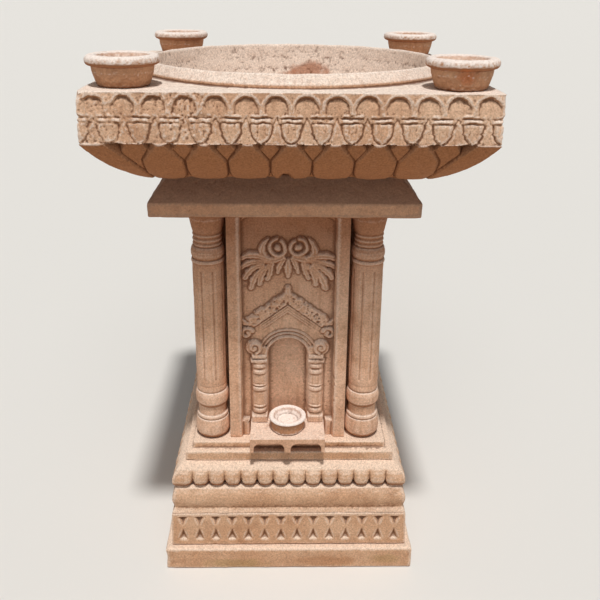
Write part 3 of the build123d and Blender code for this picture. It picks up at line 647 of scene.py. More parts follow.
def chip_pit(across, level, base, point):
    """Depth of a three-faced pit: a triangle from its base level to its point, deepest in the middle."""
    height = abs(base - point)
    up = (level - point) * math.copysign(1, base - point)
    lean = math.hypot(height, PIT_HALF_WIDTH)
    to_sides = (up * PIT_HALF_WIDTH - np.abs(across) * height) / lean
    to_base = height - up
    inside = np.minimum(to_sides, to_base)
    inradius = PIT_HALF_WIDTH * height / (PIT_HALF_WIDTH + lean)
    return PIT_DEPTH * unit(inside / inradius)


def diamond_relief(x, z):
    place = x / DIAMOND_PITCH + DIAMOND_COUNT / 2
    number = np.clip(np.floor(place), 0, DIAMOND_COUNT - 1)
    across = (place - number - 0.5) * DIAMOND_PITCH
    z = z + 0.8 * value_noise(np.stack([number * 7.3, 0 * x, 0 * x], -1), 1.0, 4)
    return -chip_pit(across, z, *UPPER_PIT_LEVELS) - chip_pit(across, z, *LOWER_PIT_LEVELS)


def diamond_course():
    half, top_half, top = DIAMOND_HALF, DIAMOND_TOP_HALF, DIAMOND_TOP
    outline = [(half - 14, SLAB_TOP), (half - 2.5, SLAB_TOP), (half - 0.5, SLAB_TOP + 2.5),
               (top_half, top - 1.5), (top_half - 1.5, top), (top_half - 14, top)]
    rings = square_rings(outline, columns_for(half, FINE), diamond_relief)
    finish_course("diamond_course", rings, 2, 0.6, 0.45, 2)


def round_course():
    foot, top = DIAMOND_TOP, ROUND_TOP
    half, neck = DIAMOND_TOP_HALF - ROUND_SETBACK, DIAMOND_TOP_HALF - NECK_SETBACK
    outline = [(half - 14, foot), (DIAMOND_TOP_HALF - 1.5, foot), (DIAMOND_TOP_HALF - 0.4, foot + 1),
               (half - 0.6, foot + 11), *arc((half, foot + 13), (half - 2.5, top - 3), 4.6),
               (neck, top - 1.5), (neck, top), (neck - 12, top)]
    finish_course("round_course", square_rings(outline, columns_for(half, COARSE)), 4, 0.9, 0.4, 3)


def gadroon_relief(x, z):
    """Round lobes with a crease between them, and a dark notch at the foot of each crease."""
    half = GADROON_HALF - GADROON_SWELL
    pitch = 2 * half / GADROON_COUNT
    number = np.clip(np.floor((x + half) / pitch), 0, GADROON_COUNT - 1)
    across = x + half - (number + 0.5) * pitch
    corner = np.abs(x) > half - pitch / 2
    to_joint = np.where(corner & (across * x > 0), pitch / 2, pitch / 2 - np.abs(across))
    up = unit((z - ROUND_TOP) / (GADROON_TOP - ROUND_TOP))
    swell = GADROON_LOBE - np.sqrt(np.clip(GADROON_LOBE**2 - (pitch / 2 - to_joint) ** 2, 0, None))
    swell = swell * (1 - 0.95 * ease(up, 0.25, 0.95))
    notch_width = NOTCH_HALF_WIDTH * unit(1 - (z - ROUND_TOP) / NOTCH_HEIGHT) + 0.01
    notch = NOTCH_DEPTH * unit(1 - to_joint / notch_width) * unit(1.2 - up * 2)
    crease = 0.8 * unit(1 - to_joint / 2.6) * (1 - up) ** 3
    lean = 0.6 * value_noise(on_plane(number, 0 * z), 1.0, 12)
    return lean - 0.6 - swell - notch - crease


def gadroon_course():
    out, foot, crown = GADROON_HALF, ROUND_TOP, GADROON_TOP
    belly = foot + 13
    outline = [(out - 24, foot), (out - 9, foot), (out - 4.5, foot + 3), (out - 1.2, foot + 8),
               (out, belly), (out - 0.6, belly + 7), (out - 2.8, belly + 14), (out - 7, belly + 21),
               (out - 13, belly + 26.5), (out - 20, belly + 30), (out - 24, crown), (STEP_HALF - 14, crown)]
    rings = square_rings(outline, columns_for(out, FINE), gadroon_relief)
    finish_course("gadroon_course", rings, 3, 0.9, 0.4, 4)


def stepped_course():
    half, inner, tread = STEP_HALF, STEP_HALF - STEP_TREAD, GADROON_TOP + LOWER_STEP_RISE
    outline = [(half - 16, GADROON_TOP), (half, GADROON_TOP), (half, tread - 1.5), (half - 1.5, tread),
               (inner, tread), (inner, SHAFT_FOOT - 1), (inner - 1, SHAFT_FOOT), (inner - 70, SHAFT_FOOT)]
    finish_course("stepped_course", square_rings(outline, columns_for(half, COARSE)), 4, 0.9, 0.5, 5)


def abacus():
    foot, edge, half = SHAFT_TOP, SHAFT_TOP + ABACUS_FACE, ABACUS_HALF - 0.4
    outline = [(half - 90, foot), (half - 1.5, foot), (half, foot + 2), (half, edge - 2), (half - 2, edge),
               (half - ABACUS_RUN, ABACUS_TOP), (half - 60, ABACUS_TOP)]
    rings = square_rings(outline, columns_for(ABACUS_HALF, COARSE), spacing=COARSE) + (ABACUS_X, 0, 0)
    finish_course("abacus", rings, 4, 0.9, 0.4, 6, "abacus_stone", "abacus_stone_piece")


# -------- lotus tray
# Half-widths at shares of the way up the underside: main petals, the ones behind them, the lone ones
# beside the corners (and how far those lean out), and the near edges of the corner petals
MAIN_PETAL = ((0, 24.0), (0.15, 27.6), (0.26, 29.8), (0.39, 31.2), (0.64, 31.2), (0.69, 30.4), (0.73, 28.4),
              (0.78, 24.8), (0.87, 18.3), (0.92, 14.0), (0.957, 10.8), (1, 8.0))
BACK_PETAL = ((0, 30.0), (0.87, 30.0), (0.885, 16.0), (0.93, 11.5), (0.96, 8.5), (1, 6.0))
LONE_PETAL = ((0.3, 22.0), (0.86, 22.0), (0.92, 17.0), (1, 13.0))
LONE_PETAL_LEAN = ((0.35, 0.0), (1, 6.0))
CORNER_EDGE = ((0, 213.5), (0.3, 219.0), (0.5, 226.5), (0.7, 239.0), (0.85, 252.0), (1, 268.0))
PETAL_RISE = 6.2
BACK_PETAL_RISE = 2.4
PIT_FLOOR = -9.0
GROOVE_DEPTH, GROOVE_HALF = 3.8, 2.1
CHIP = (-8.0, 0.12, 12.0, 0.3)      # the middle petal's chip: place across and up, reach across and up
CHIP_DEPTH = 8.0


def petal_dome(gap, half, rise, fall):
    """A petal's height at a distance from its middle line."""
    t = np.abs(gap) / half
    return np.where(t < 1, rise * (1 - fall * t**2) * ease(1 - t, 0.0, 0.05), PIT_FLOOR)


def lotus_relief(x, up):
    """Height of the petals over the ground, on the curved underside; up runs from 0 at its foot to 1."""
    number = np.clip(np.floor(x / PETAL_PITCH + PETAL_COUNT / 2), 0, PETAL_COUNT - 1)
    across = np.abs(x - (number + 0.5 - PETAL_COUNT / 2) * PETAL_PITCH)
    side, last = np.abs(x), PETAL_COUNT / 2 * PETAL_PITCH
    main_half, edge = table(up, MAIN_PETAL), table(up, CORNER_EDGE)
    main = petal_dome(across, main_half, PETAL_RISE, 0.3)
    back = petal_dome(PETAL_PITCH / 2 - across, table(up, BACK_PETAL), BACK_PETAL_RISE, 0.3)
    back = np.where(side < last - PETAL_PITCH / 2, back, PIT_FLOOR)
    lone = petal_dome(side - (last + table(up, LONE_PETAL_LEAN)), table(up, LONE_PETAL), BACK_PETAL_RISE, 0.2)
    lone = np.where(side > last - PETAL_PITCH / 2, lone, PIT_FLOOR)
    corner = PETAL_RISE * (1 - 0.15 * unit(1 - (side - edge) / 20) ** 2) * ease(side - edge, 0, 1.5)
    height = highest(main, back, lone, np.where(side > edge, corner, PIT_FLOOR))
    outline = np.where(side < last, np.abs(across - main_half), 99)
    outline = np.minimum(outline, np.abs(side - edge))
    groove = GROOVE_DEPTH * unit(1 - outline / GROOVE_HALF) * (height > 0)
    return height - groove - CHIP_DEPTH * chip_mask(x, up)


def chip_mask(x, up):
    middle, low, reach, rise = CHIP
    gap = np.hypot((x - middle) / reach, (up - low) / rise)
    return ease(1 - gap + 0.25 * value_noise(on_plane(x, 60 * up), 6, 70), 0.0, 0.5)


def arcade(across, z):
    """Arches with a soft double moulding; the ground in them comes forward towards their foot."""
    centre = TRAY_TOP - ARCH_DROP
    radius = np.hypot(across, np.maximum(z - centre, 0))
    ground = table(z, ((centre - 8, -1.4), (centre, -2.2), (centre + 9, -3.2), (centre + 16, -5.0)))
    band = ease(radius, ARCH_OPENING - 0.9, ARCH_OPENING + 0.5)
    height = ground * (1 - band) - 0.2 * band
    height -= 0.9 * bump(radius, 20.0, 1.6) * ease(z, centre - 6, centre)
    return height - 1.3 * ease(radius, 22.2, 23.6)


# Half-widths of a bud, and of the point of the leaf between two buds, at levels up the frieze
BUD = ((831, 1.0), (834, 6.5), (839, 10.6), (846, 13.0), (853, 14.0), (861, 14.6))
LEAF_POINT = ((851, 6.6), (860, 4.0), (869, 0.4))
BUD_TOP, LEAF_FOOT, LEAF_TIP = BUD[-1][0], LEAF_POINT[0][0], LEAF_POINT[-1][0]
CAPS = ((874.6, 869.6, 17.0), (866.6, 862.0, 14.5))     # top, underside, half-width
ARCADE_FOOT = 873.5


def bud_row(across, joint, z, ragged):
    """Double caps over buds, with a broad leaf between the buds; thin grooves part them."""
    bud_half = table(z, BUD)
    in_bud = (joint < bud_half) & (z < BUD_TOP)
    height = np.where(in_bud, -0.3 - 1.6 * (joint / bud_half) ** 4, -1.2 - 0.05 * np.abs(across))
    bud_line = np.where(z < BUD_TOP, bump(joint, bud_half + 1.0, 1.7), 0)
    in_leaf = (z >= LEAF_FOOT) & (z < LEAF_TIP)
    leaf_line = bump(np.abs(across), table(z, LEAF_POINT), 1.5) * in_leaf
    height = height - 2.8 * np.maximum(bud_line, 0.8 * leaf_line)
    height -= 1.0 * bump(joint, 5.0, 1.3) * in_bud * (z > 845)
    for top, under, half in CAPS:
        plate = 1 - ease(joint, half - 1.2, half + 0.8)
        cut = plate * bump(z, under - 1.2, 1.5)
        height = height * (1 - cut) - 3.4 * cut
        bar = plate * span(z, under - 0.7, under + 0.5, top - 0.8, top + 0.8)
        height = np.maximum(height, -6 + (6.2 - ragged) * bar)
    return height


def frieze_relief(x, z):
    """The carved face of the tray, warped, broken and eaten away in patches."""
    place = on_plane(x, z)
    pitch = 2 * TRAY_HALF / ARCH_COUNT
    level = z + 0.9 * value_noise(place, 12, 62) + 1.0 * value_noise(place, 4.5, 67)
    along = x + 1.3 * value_noise(place, 11, 61) + 0.8 * value_noise(place, 4.5, 68)
    number = np.clip(np.floor(along / pitch + ARCH_COUNT / 2), 0, ARCH_COUNT - 1)
    across = along - (number + 0.5 - ARCH_COUNT / 2) * pitch
    ragged = 2.4 * unit(value_noise(place, 6.5, 72) + 0.1)
    joint = np.abs(pitch / 2 - np.abs(across))
    height = np.where(level > ARCADE_FOOT, arcade(across, level), bud_row(across, joint, level, ragged))
    low = 1 - ease(z, 872, 884)
    eaten = ease(0.6 * value_noise(place, 45, 63) - 1.1 * x / TRAY_HALF, 0.3, 0.95)
    eaten = np.maximum(eaten, 0.45 * low * ease(value_noise(place, 26, 69), 0.0, 0.6))
    height = height * (1 - 0.25 * eaten) - eaten * (0.5 + 1.1 * value_noise(place, 4.2, 64))
    coarse, fine = strewn_pits(place, 5.0, 0.45, 65), strewn_pits(place, 3.2, 0.6, 66)
    return height - (0.4 + 1.9 * eaten) * coarse - (0.8 + 0.8 * low + 1.6 * eaten) * fine


def underside(columns):
    """The petals on the swelling underside, as rings of points."""
    along = along_side(columns)
    up = np.linspace(0, 1, UNDERSIDE_ROWS)[:, None]
    run, rise = TRAY_HALF - LOTUS_FOOT_HALF, LOTUS_RISE
    out = np.array([rise, -run]) / math.hypot(run, rise)
    middle = 4 * up * (1 - up)
    swell = LOTUS_BULGE * middle
    half = LOTUS_FOOT_HALF + run * up + out[0] * swell
    level = ABACUS_TOP + rise * up + out[1] * swell
    height = lotus_relief(half * along, up + 0 * along) - PETAL_RISE - 0.2
    brow = ease(up + 0.012 * value_noise(on_plane(half * along, level), 9, 71), 0.982, 0.999)
    height = height * (1 - brow) - 0.8 * brow
    height = height - 4.5 * middle * ease(np.abs(along), 0.8, 1.0)
    row_half = half + out[0] * height
    x = along * row_half[:, :1]
    return quarter_turns(np.stack([x, -row_half, level + out[1] * height], -1))


def tray_sides(columns):
    """The underside's petals and the carved face, as one band of rings."""
    foot, half = ABACUS_TOP + LOTUS_RISE, TRAY_HALF - 0.5
    face = square_rings([(half, foot + 1), (half, TRAY_TOP - 1.2)], columns, frieze_relief)
    return np.concatenate([underside(columns), face])


def round_rings(corners, columns, spacing=FINE):
    """Rings round the bowl's axis whose points lie on the rays of a square course's columns."""
    eighths = np.arctan(along_side(columns))
    angle = np.concatenate([eighths + math.pi / 2 * k for k in range(4)]) - math.pi / 2
    radius, level = resample(corners, spacing).T[:, :, None]
    return turned(radius, level, angle, BOWL_X)


def rim_and_bowl(columns):
    """The raised rim, then the bowl's wall and its floor, each with its own number of columns."""
    top, edge, floor = RIM_TOP - 0.3, TRAY_TOP + RIM_FACE, RIM_TOP - BOWL_DEPTH
    rim = [(RIM_RADIUS, TRAY_TOP + 0.6), (RIM_RADIUS - 0.2, edge - 1), (RIM_RADIUS - 1.6, edge + 0.8),
           (BOWL_RADIUS + 4.5, top - 1.2), (BOWL_RADIUS + 2.2, top), (BOWL_RADIUS + 0.4, top - 1.4)]
    wall = [(BOWL_RADIUS - 0.4, top - 5), (BOWL_RADIUS - 3, RIM_TOP - 26), (BOWL_RADIUS - 8, RIM_TOP - 50),
            (BOWL_SHOULDER[0], RIM_TOP - BOWL_SHOULDER[1]), (226, floor + 43), (207, floor + 24),
            (184, floor + 8), (BOWL_FLOOR_RADIUS, floor + 1), (BOWL_FLOOR_RADIUS - 14, floor)]
    bottom = [(BOWL_FLOOR_RADIUS - 17, floor), (12, floor)]
    return (round_rings(rim, columns), round_rings(wall, columns // 2, 2.0),
            round_rings(bottom, columns // 8, 4.0))


def lotus_tray():
    columns = columns_for(TRAY_HALF, FINE)
    rim, wall, bottom = rim_and_bowl(columns)
    square = square_rings([(TRAY_HALF - 1.2, TRAY_TOP)], columns)
    circle = round_rings([(RIM_RADIUS + 0.6, TRAY_TOP)], columns)
    blend = np.linspace(0, 1, 44)[:, None, None]
    outer = np.concatenate([tray_sides(columns), square * (1 - blend) + circle * blend, rim])
    outer = weather(outer, 2, 0.7, 0.45, 7)
    outer = blunt(outer, (-TRAY_HALF, -TRAY_HALF, TRAY_TOP), 14, (0.25, 0.25, -0.25))
    wall = roughen(wall, True, 1.2, 0.22, 8)
    bottom = roughen(bottom, True, 1.0, 0.8, 8)
    seat = ABACUS_TOP + 0.1
    start = square_rings([(40.0, seat), (LOTUS_FOOT_HALF - 40, seat)], columns, spacing=math.inf)
    outer = np.concatenate([start, outer])
    outer[..., 2] = np.maximum(outer[..., 2], ABACUS_TOP)
    mesh = ring_mesh("lotus_tray_stone", [outer, wall, bottom], UNDERSIDE_ROWS - 1)
    add_piece("lotus_tray_stone", mesh, ["lotus_tray"], "tray_stone")


# -------- shaft
CURVE_POINTS = 40
LEAF_SCALLOPS = 3.5


def bezier(path):
    """Points along the curve that a list of control points pulls."""
    t = np.linspace(0, 1, CURVE_POINTS)[:, None]
    level = [np.array(p, float)[None, :] + 0 * t for p in path]
    while len(level) > 1:
        level = [a * (1 - t) + b * t for a, b in zip(level, level[1:])]
    return level[0]


def from_curve(x, z, samples):
    """Distance of each point from a row of points, and the share of the way along it."""
    best, share = np.full(x.shape, 1e9), np.zeros(x.shape)
    for place, (px, pz) in zip(np.linspace(0, 1, len(samples)), samples):
        gap = np.hypot(x - px, z - pz)
        share = np.where(gap < best, place, share)
        best = np.minimum(gap, best)
    return best, share


def leaf(x, z, path, radii, height):
    """A full leaf along a curve, with a vein down its middle and a scalloped edge."""
    gap, share = from_curve(x, z, bezier(path))
    half = np.interp(share, np.linspace(0, 1, len(radii)), radii)
    half = half * (1 - 0.1 * np.cos(share * LEAF_SCALLOPS * 2 * math.pi))
    body = height * np.sqrt(unit(1 - (gap / half) ** 4))
    return np.maximum(body - 1.6 * bump(gap, 0, 1.4), 0)


def curl(x, z, centre, radii, angles, thick, height):
    """A ridge along a spiral about a centre; radii and angles (degrees) run from start to end."""
    steps = np.linspace(0, 1, CURVE_POINTS)
    turn = np.radians(angles[0] + (angles[1] - angles[0]) * steps)
    reach = radii[0] + (radii[1] - radii[0]) * steps
    samples = zip(centre[0] + reach * np.cos(turn), centre[1] + reach * np.sin(turn))
    return height * rounded(from_curve(x, z, list(samples))[0], thick)


# Scrolled foliage, right-hand half: control points from the panel's middle and foot, half-widths, height
FOLIAGE = (
    (((36, 388), (50, 374), (50, 360), (34, 348)), (3.0, 6.0, 6.5, 5.0), 6.5),
    (((34, 352), (52, 358), (66, 362), (80, 352)), (5.5, 6.5, 7.5, 4.8), 7.2),
    (((44, 347), (58, 347), (70, 345), (81, 336)), (4.5, 5.5, 6.0, 4.4), 6.4),
    (((44, 341), (60, 337), (70, 329), (76, 315)), (5.0, 5.8, 7.2, 5.2), 7.2),
    (((40, 336), (54, 328), (62, 314), (66, 296)), (5.0, 5.8, 7.4, 5.2), 7.2),
    (((34, 340), (44, 328), (48, 317), (50, 303)), (4.6, 5.4, 6.0, 4.2), 6.4),
    (((27, 346), (28, 334), (32, 326), (37, 314)), (4.6, 5.4, 5.2, 3.8), 6.2),
    (((10, 356), (20, 350), (28, 349), (38, 350)), (4.0, 6.5, 7.5, 7.5), 6.4),
    (((7, 352), (13, 345), (16, 338), (18, 325)), (4.0, 5.4, 5.0, 3.4), 5.6),
    (((0, 350), (0, 336), (0, 316)), (4.0, 8.5, 3.0), 6.8),
)
SCROLL_EYE = (18.5, 372.0)


def scroll_foliage(x, z):
    """Two round scrolls with splayed leaves, and a bud between them."""
    place = on_plane(x, z)
    x = x + 1.8 * value_noise(place, 20, 84)
    z = z + 1.8 * value_noise(place, 20, 85)
    side = np.abs(x)
    gap = np.hypot(side - SCROLL_EYE[0], z - SCROLL_EYE[1] + 1.0)
    return highest(*(leaf(side, z, *shape) for shape in FOLIAGE), 7.0 * rounded(gap, 7.6),
                   curl(side, z, SCROLL_EYE, (15.0, 13.5), (80, -240), 4.4, 7.2))


def top_corners(side, z, height):
    """Worn quarter rosettes in the field's upper corners."""
    stem = ((60, height - 4), (70, height - 16), (82, height - 26))
    return np.maximum(curl(side, z, (78, height - 12), (12, 5), (150, 420), 3.4, 4.5),
                      leaf(side, z, stem, (3.0, 5.0, 3.0), 4.4))


GABLE_APEX, GABLE_FOOT = 291.0, (80.0, 231.0)
GABLE_MOULDINGS = (-23.8, -28.2, -32.6)
GABLE_SCROLL = ((74, 207), (11.0, 3.0), (160, -230), 4.4, 7.4)
GABLE_LEAVES = ((((84, 246), (89, 234), (80, 226), (68, 226)), (2.5, 4.5, 5.0, 4.0), 6.0),
                (((0, 276), (0, 296)), (9, 5), 7.0))


def gable_carving(x, z):
    """A foliated gable drilled with holes, mouldings inside it, and a scroll at each foot."""
    side, place = np.abs(x), on_plane(x, z)
    foot_x, fall = GABLE_FOOT[0], GABLE_APEX - GABLE_FOOT[1]
    run = math.hypot(foot_x, fall)
    across = (side * fall + (z - GABLE_APEX) * foot_x) / run
    along = (side * foot_x - (z - GABLE_APEX) * fall) / run
    crest = 1.0 + 2.2 * value_noise(place, 6.0, 80)
    body = span(across, -21.5, -20, crest - 1.5, crest + 1)
    body *= span(along, -8, 0, 90, 97)
    holes = np.maximum(strewn_pits(place, 8.0, 0.75, 81), 0.7 * strewn_pits(place, 4.5, 0.6, 82))
    out = body * (6.4 + 1.4 * value_noise(place, 5.0, 83) - 7.0 * holes)
    for offset in GABLE_MOULDINGS:
        line = unit(1 - ((across - offset) / 2.0) ** 2) * (1 - ease(along, 78, 86))
        out = np.maximum(out, 4.0 * np.sqrt(line))
    inside = (across < -22) & (z > NICHE_CROWN - 12) & (side < 66)
    return highest(out, np.where(inside, 1.8, 0), curl(side, z, *GABLE_SCROLL),
                   *(leaf(side, z, *shape) for shape in GABLE_LEAVES))


# Rings round a pilaster: middle, half-height; the plates over it: underside, top, half-width, height
PILASTER_RINGS = ((50.0, 5.0), (60.5, 2.0), (96.0, 4.5), (104.0, 1.8), (131.0, 4.5), (143.0, 4.0))
PILASTER_PLATES = ((150.5, 157.0, 15.5, 11.0), (158.5, 165.5, 14.0, 10.5))
VOLUTE = (60.5, 179.5)
ARCH_MOULDINGS = ((53.0, 2.4, 5.0), (47.0, 2.4, 6.0), (40.4, 3.6, 8.0))     # radius, half-width, height


def pilaster(side, z):
    """A ringed half-round shaft on a block, under two plates and a volute."""
    gap = np.abs(side - PILASTER_X)
    drum = 10.5 * rounded(gap, 14.0) * (z > 40) * (z < 152)
    for level, half in PILASTER_RINGS:
        groove = bump(np.abs(z - level), half + 0.6, 1.3)
        drum = drum * (1 + 0.2 * rounded(z - level, half)) * (1 - 0.14 * groove)
    shaft = np.where((gap < 15.0) & (z > NICHE_SILL) & (z < 43.5), BLOCK_DEPTH - 0.5, drum)
    plates = [np.where((gap < half) & (z > low) & (z < high), height, 0)
              for low, high, half, height in PILASTER_PLATES]
    neck = np.where((np.abs(side - 49) < 10) & (z > 163) & (z < 182), 7.0, 0)
    from_eye = np.hypot(side - VOLUTE[0], z - VOLUTE[1])
    volute = 6.0 * (from_eye < 15) + curl(side, z, VOLUTE, (11.6, 1.0), (250, -240), 3.6, 5.0)
    return highest(shaft, *plates, neck, np.where(from_eye < 13.5, 6.6, 0), volute)


def arches(radius, z):
    """Mouldings round the niche's head."""
    over = ease(z, NICHE_SPRING - 9, NICHE_SPRING - 7)
    return over * highest(*(height * rounded(radius - ring, thick) for ring, thick, height in ARCH_MOULDINGS))


def foot_blocks(side, z, has_sill_band):
    """Blocks in the field's lower corners, and on three sides a band under the niche."""
    out = np.where((side > 70.5) & (side < 86) & (z < 31.5), 12.5, 0)
    if has_sill_band:
        out = np.where((side < 67.5) & (z < NICHE_SILL - 0.5), BLOCK_DEPTH - 0.4, out)
    return out


def panel_relief(x, z, height, has_sill_band):
    """How far the front stands out from the panel's field; z is measured from the panel's foot."""
    side, radius = np.abs(x), np.hypot(x, np.maximum(z - NICHE_SPRING, 0))
    out = highest(scroll_foliage(x, z), top_corners(side, z, height), gable_carving(x, z), arches(radius, z),
                  pilaster(side, z), foot_blocks(side, z, has_sill_band))
    opening = 1 - ease(radius, NICHE_HALF - 1.0, NICHE_HALF + 0.2)
    opening = opening * ease(z, NICHE_SILL - 1.0, NICHE_SILL + 0.5)
    out = out * (1 - opening) - NICHE_DEPTH * opening
    strip = ease(side, PANEL_HALF - STRIP_WIDTH - 0.8, PANEL_HALF - STRIP_WIDTH + 0.4)
    return out * (1 - strip) + FIELD_DEPTH * strip


def panel(side_name, quarter, step, seed):
    height = SHAFT_TOP - SHAFT_FOOT
    across = np.linspace(-PANEL_HALF, PANEL_HALF, round(2 * PANEL_HALF / step) + 1)
    x, z = np.meshgrid(across, np.linspace(0.3, height - 0.3, round(height / step) + 1))
    face = PANEL_FACE - FIELD_DEPTH - 0.4 + panel_relief(x, z, height, quarter > 0)
    turn, middle = np.array(Matrix.Rotation(math.pi / 2 * quarter, 3, "Z")), np.array([SHAFT_X, 0, 0])
    grid = np.stack([x, -face, z + SHAFT_FOOT], -1) @ turn.T + middle
    grid = weather(grid, 3, 0.7, 0.8, seed, wrap=False)
    outward = turn @ np.array([0, -1, 0])
    name = f"panel_{side_name}_carving"
    mesh = slab_mesh(name, grid, outward, PANEL_HALF + 0.2 + outward @ middle)
    add_piece(name, mesh, [f"panel_{side_name}"], "shaft_stone")


# Column outline: (radius, height above the foot)
COLUMN_OUTLINE = (
    (22.3, 0.2), (25.5, 2.2), (28.9, 6), (31.2, 10.5), (32.2, 15), (32.4, 20), (31.8, 28), (30.4, 35),
    (29.3, 39), (27.2, 39.6), (28.6, 41.2), (29.2, 43.5), (28.6, 46.8), (26.0, 48.4), (25.3, 51),
    (25.4, 58), (25.6, 66), (27.6, 68.4), (30, 73), (30.7, 80), (30.3, 88), (28, 94.6), (25.8, 95.6),
    (27.2, 98), (27.4, 101.5), (27.0, 105.5), (26.4, 108.4), (27.2, 110), (27.3, 345.6), (28.6, 348),
    (29.1, 350), (28.4, 353), (26.0, 354.4), (27.8, 357.5), (29.0, 362), (29.1, 368), (27.8, 373.5),
    (26.6, 376.6), (24.2, 377.6), (25.8, 381.4), (24.0, 385.2), (25.8, 389.4), (24.0, 393.6), (25.8, 397.8),
    (24.4, 401.6), (25.6, 404), (28.0, 415), (30.6, 427.5), (30.7, 449.7))
COLUMN_FLUTES = 8
FLUTE_REACH = (119, 124, 333, 338)
FOOT_LEAVES_REACH = (10, 14, 32, 38)


def column(side_name, seed):
    node = f"column_{side_name}"
    x, y = middle_of(node)[:2]
    angle = full_turn(168)
    radius, up = resample(COLUMN_OUTLINE, COLUMN_SPACING).T[:, :, None]
    groove = 1 - ease(np.abs(np.cos(angle * COLUMN_FLUTES / 2)), 0.0, 0.6)
    leafy = 0.5 + 0.5 * np.cos(angle * COLUMN_FLUTES)
    radius = radius - 1.6 * groove * span(up, *FLUTE_REACH) - 0.8 * leafy * span(up, *FOOT_LEAVES_REACH)
    rings = turned(radius, SHAFT_FOOT + up, angle, x, y)
    finish_course(node, rings, 2, 0.5, 0.35, seed, "shaft_stone")


def fine_copy(node):
    """A finely meshed copy of a CAD node's mesh."""
    copy = add_object("remesh_work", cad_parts[node].data.copy())
    remesh = copy.modifiers.new("remesh", "REMESH")
    remesh.mode = "VOXEL"
    remesh.voxel_size = SHELF_VOXEL * MM
    smooth = copy.modifiers.new("smooth", "SMOOTH")
    smooth.factor, smooth.iterations = 0.5, 3
    mesh = bpy.data.meshes.new_from_object(copy.evaluated_get(bpy.context.evaluated_depsgraph_get()))
    bpy.data.objects.remove(copy)
    return mesh


def vertex_values(mesh, kind):
    values = np.zeros(len(mesh.vertices) * 3)
    mesh.vertices.foreach_get(kind, values)
    return values.reshape(-1, 3)


def lamp_shelf():
    mesh = fine_copy("lamp_shelf")
    points, normals = vertex_values(mesh, "co") / MM, vertex_values(mesh, "normal")
    offset = 0.6 * fractal_noise(points, 22, 3, 31) - 1.0 * strewn_pits(points, 7, 0.3, 32) - 0.4
    mesh.vertices.foreach_set("co", ((points + normals * offset[:, None]) * MM).ravel())
    mesh.materials.clear()
    mesh.attributes.new("hollow", "FLOAT", "POINT")
    mesh.polygons.foreach_set("use_smooth", np.ones(len(mesh.polygons), bool))
    mesh.update()
    add_piece("lamp_shelf_stone", mesh, ["lamp_shelf"], "shaft_stone")


# -------- lamps
# Shares of the way from a lamp's foot to its waist (out, up), and of its mouth and depth down the cup
LAMP_SIDE = ((0.35, 0.3), (0.8, 0.7))
LAMP_CUP = ((0.9, 0.45), (0.72, 0.85))
# Sizes of a lamp: thickness of its lip (half), radius of its mouth, depth of its cup, radius of its foot
CORNER_LAMP = (7.8, 40.5, 19.0, 38.5)
SHELF_LAMP = (3.4, 26.0, 12.0, 28.5)


def lamp(node, sizes, around, seed):
    """A turned oil lamp with a thick round lip and a shallow cup."""
    lip, mouth, cup_depth, foot = sizes
    low, high = node_box(node)
    x, y = middle_of(node)[:2]
    radius, height = (high[0] - low[0]) / 2 - 0.6, high[2] - low[2] - 0.4
    waist, under_lip, cup_floor = radius - lip - 0.4, height - 2 * lip, height - cup_depth + 0.4
    side = [(foot + out * (waist - foot), up * under_lip) for out, up in LAMP_SIDE]
    lip_arc = [(radius - lip + lip * math.cos(t), height - lip + lip * math.sin(t))
               for t in np.radians(np.linspace(-95, 88, 11))]
    cup = [(share * mouth, height - deep * cup_depth) for share, deep in LAMP_CUP]
    outline = [(foot * 0.6, 0.1), (foot - 1.5, 0.1), (foot, 1.5), *side, (waist - 0.4, under_lip - 0.4),
               *lip_arc, (mouth + 0.8, height - 0.4), (mouth - 0.8, height - 2.0), *cup,
               (0.5 * mouth, cup_floor), (3.0, cup_floor)]
    r, up = resample(outline, LAMP_SPACING).T[:, :, None]
    rings = weather(turned(r, low[2] + up, full_turn(around), x, y), 2, 0.7, 0.5, seed)
    rings[..., 2] = np.maximum(rings[..., 2], low[2])
    name = f"{node}_stone"
    add_piece(name, ring_mesh(name, [rings]), [node], "lamp_stone", f"{node}_body")


# -------- carried-over CAD nodes
def plain_node(node, material):
    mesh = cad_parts[node].data
    mesh.materials.clear()
    mesh.materials.append(material)


def brushed_steel():
    material, tree = new_material("dowel_steel_bar")
    where = add_node(tree, "TexCoord").outputs["Object"]
    drawn = noise_node(tree, stretched(tree, where, (1.0, 1.0, 0.05)), 2400.0)
    colour = mix(tree, drawn, srgb(150, 148, 145), srgb(188, 186, 182))
    surface(tree, colour, ramp(tree, drawn, -1.2, 2.6), {"Metallic": 1.0})
    return material


# -------- stage, light, camera
FLOOR_REACH = 60.0      # metres


def pale_floor():
    """A flat disc far wider than the view."""
    rim = turned(FLOOR_REACH / MM, 0.0, full_turn(96))
    mesh = mesh_from("floor", rim, [np.arange(len(rim))[None, :]], np.zeros(len(rim)))
    material, tree = new_material("floor_paint")
    surface(tree, srgb(226, 225, 222), 0.9)
    mesh.materials.append(material)
    floor = add_object("floor", mesh)


def sun_lamp(name, rise, side, energy, spread, colour):
    """A sun in front of the planter, that many degrees up; the spread softens its shadows."""
    sun = bpy.data.lights.new(name, "SUN")
    sun.energy, sun.angle, sun.color = energy, math.radians(spread), colour
    toward = Vector((side, -math.cos(math.radians(rise)), math.sin(math.radians(rise))))
    add_object(name, sun).rotation_euler = toward.to_track_quat("Z", "Y").to_euler()


SUN = {"rise": 70.5, "side": 0.02, "energy": 2.5, "spread": 4.5, "colour": (1.0, 0.975, 0.94)}
SOFT_SUN = {"rise": 54.0, "side": 0.0, "energy": 0.55, "spread": 44.0, "colour": (1.0, 0.985, 0.965)}


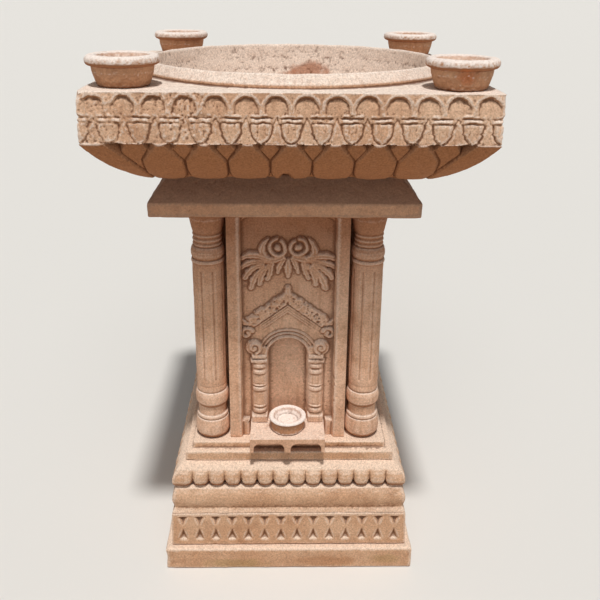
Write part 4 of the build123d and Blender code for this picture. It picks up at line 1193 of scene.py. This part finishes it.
def light_scene():
    sun_lamp("sun", **SUN)
    sun_lamp("soft_sun", **SOFT_SUN)
    world = bpy.data.worlds.new("studio")
    bpy.context.scene.world = world
    world.use_nodes = True
    tree = world.node_tree
    tree.nodes.clear()
    path = add_node(tree, "LightPath")
    indirect = math_node(tree, "MAXIMUM", path.outputs["Is Glossy Ray"], path.outputs["Is Transmission Ray"])
    seen = math_node(tree, "MAXIMUM", path.outputs["Is Camera Ray"], indirect)
    fill = add_node(tree, "Background", {"Color": (1.0, 0.985, 0.965, 1.0), "Strength": 0.12})
    pale = add_node(tree, "Background", {"Color": srgb(238, 238, 236), "Strength": 1.0})
    both = add_node(tree, "MixShader", {0: seen, 1: fill.outputs[0], 2: pale.outputs[0]})
    add_node(tree, "OutputWorld", {"Surface": both.outputs[0]})


# The photograph's camera, fitted to the square courses
CAMERA_PLACE = (-0.00985, -1.343025, 1.058583)
CAMERA_LENS = 44.2
CAMERA_RISE = -0.1167
PITCH_DOWN, YAW_RIGHT, ROLL = 18.957, 1.268, 0.584


def place_camera():
    data = bpy.data.cameras.new("camera")
    data.lens, data.sensor_width, data.shift_y = CAMERA_LENS, 36.0, CAMERA_RISE
    camera = add_object("camera", data)
    bpy.context.scene.camera = camera
    place = Matrix.Translation(CAMERA_PLACE)
    for angle, axis in ((-YAW_RIGHT, "Z"), (90 - PITCH_DOWN, "X"), (ROLL, "Z")):
        place = place @ Matrix.Rotation(math.radians(angle), 4, axis)
    camera.matrix_world = place


# -------- build
CORNERS = ("front_left", "front_right", "back_left", "back_right")
plinth_slab()
diamond_course()
round_course()
gadroon_course()
stepped_course()
for quarter, side_name in enumerate(("front", "right", "back", "left")):
    panel(side_name, quarter, OTHER_PANEL_STEP if quarter else FRONT_PANEL_STEP, 10 + quarter)
for number, corner in enumerate(CORNERS):
    column(corner, 20 + number)
lamp_shelf()
abacus()
lotus_tray()
for number, corner in enumerate(CORNERS):
    lamp(f"lamp_{corner}", CORNER_LAMP, 240, 40 + number)
lamp("lamp_shelf_front", SHELF_LAMP, 180, 50)
plain_node("shaft_core", STONES["shaft_stone"])
plain_node("joint_dowels", brushed_steel())
pale_floor()
light_scene()
place_camera()
bpy.context.scene.view_settings.view_transform = "Standard"
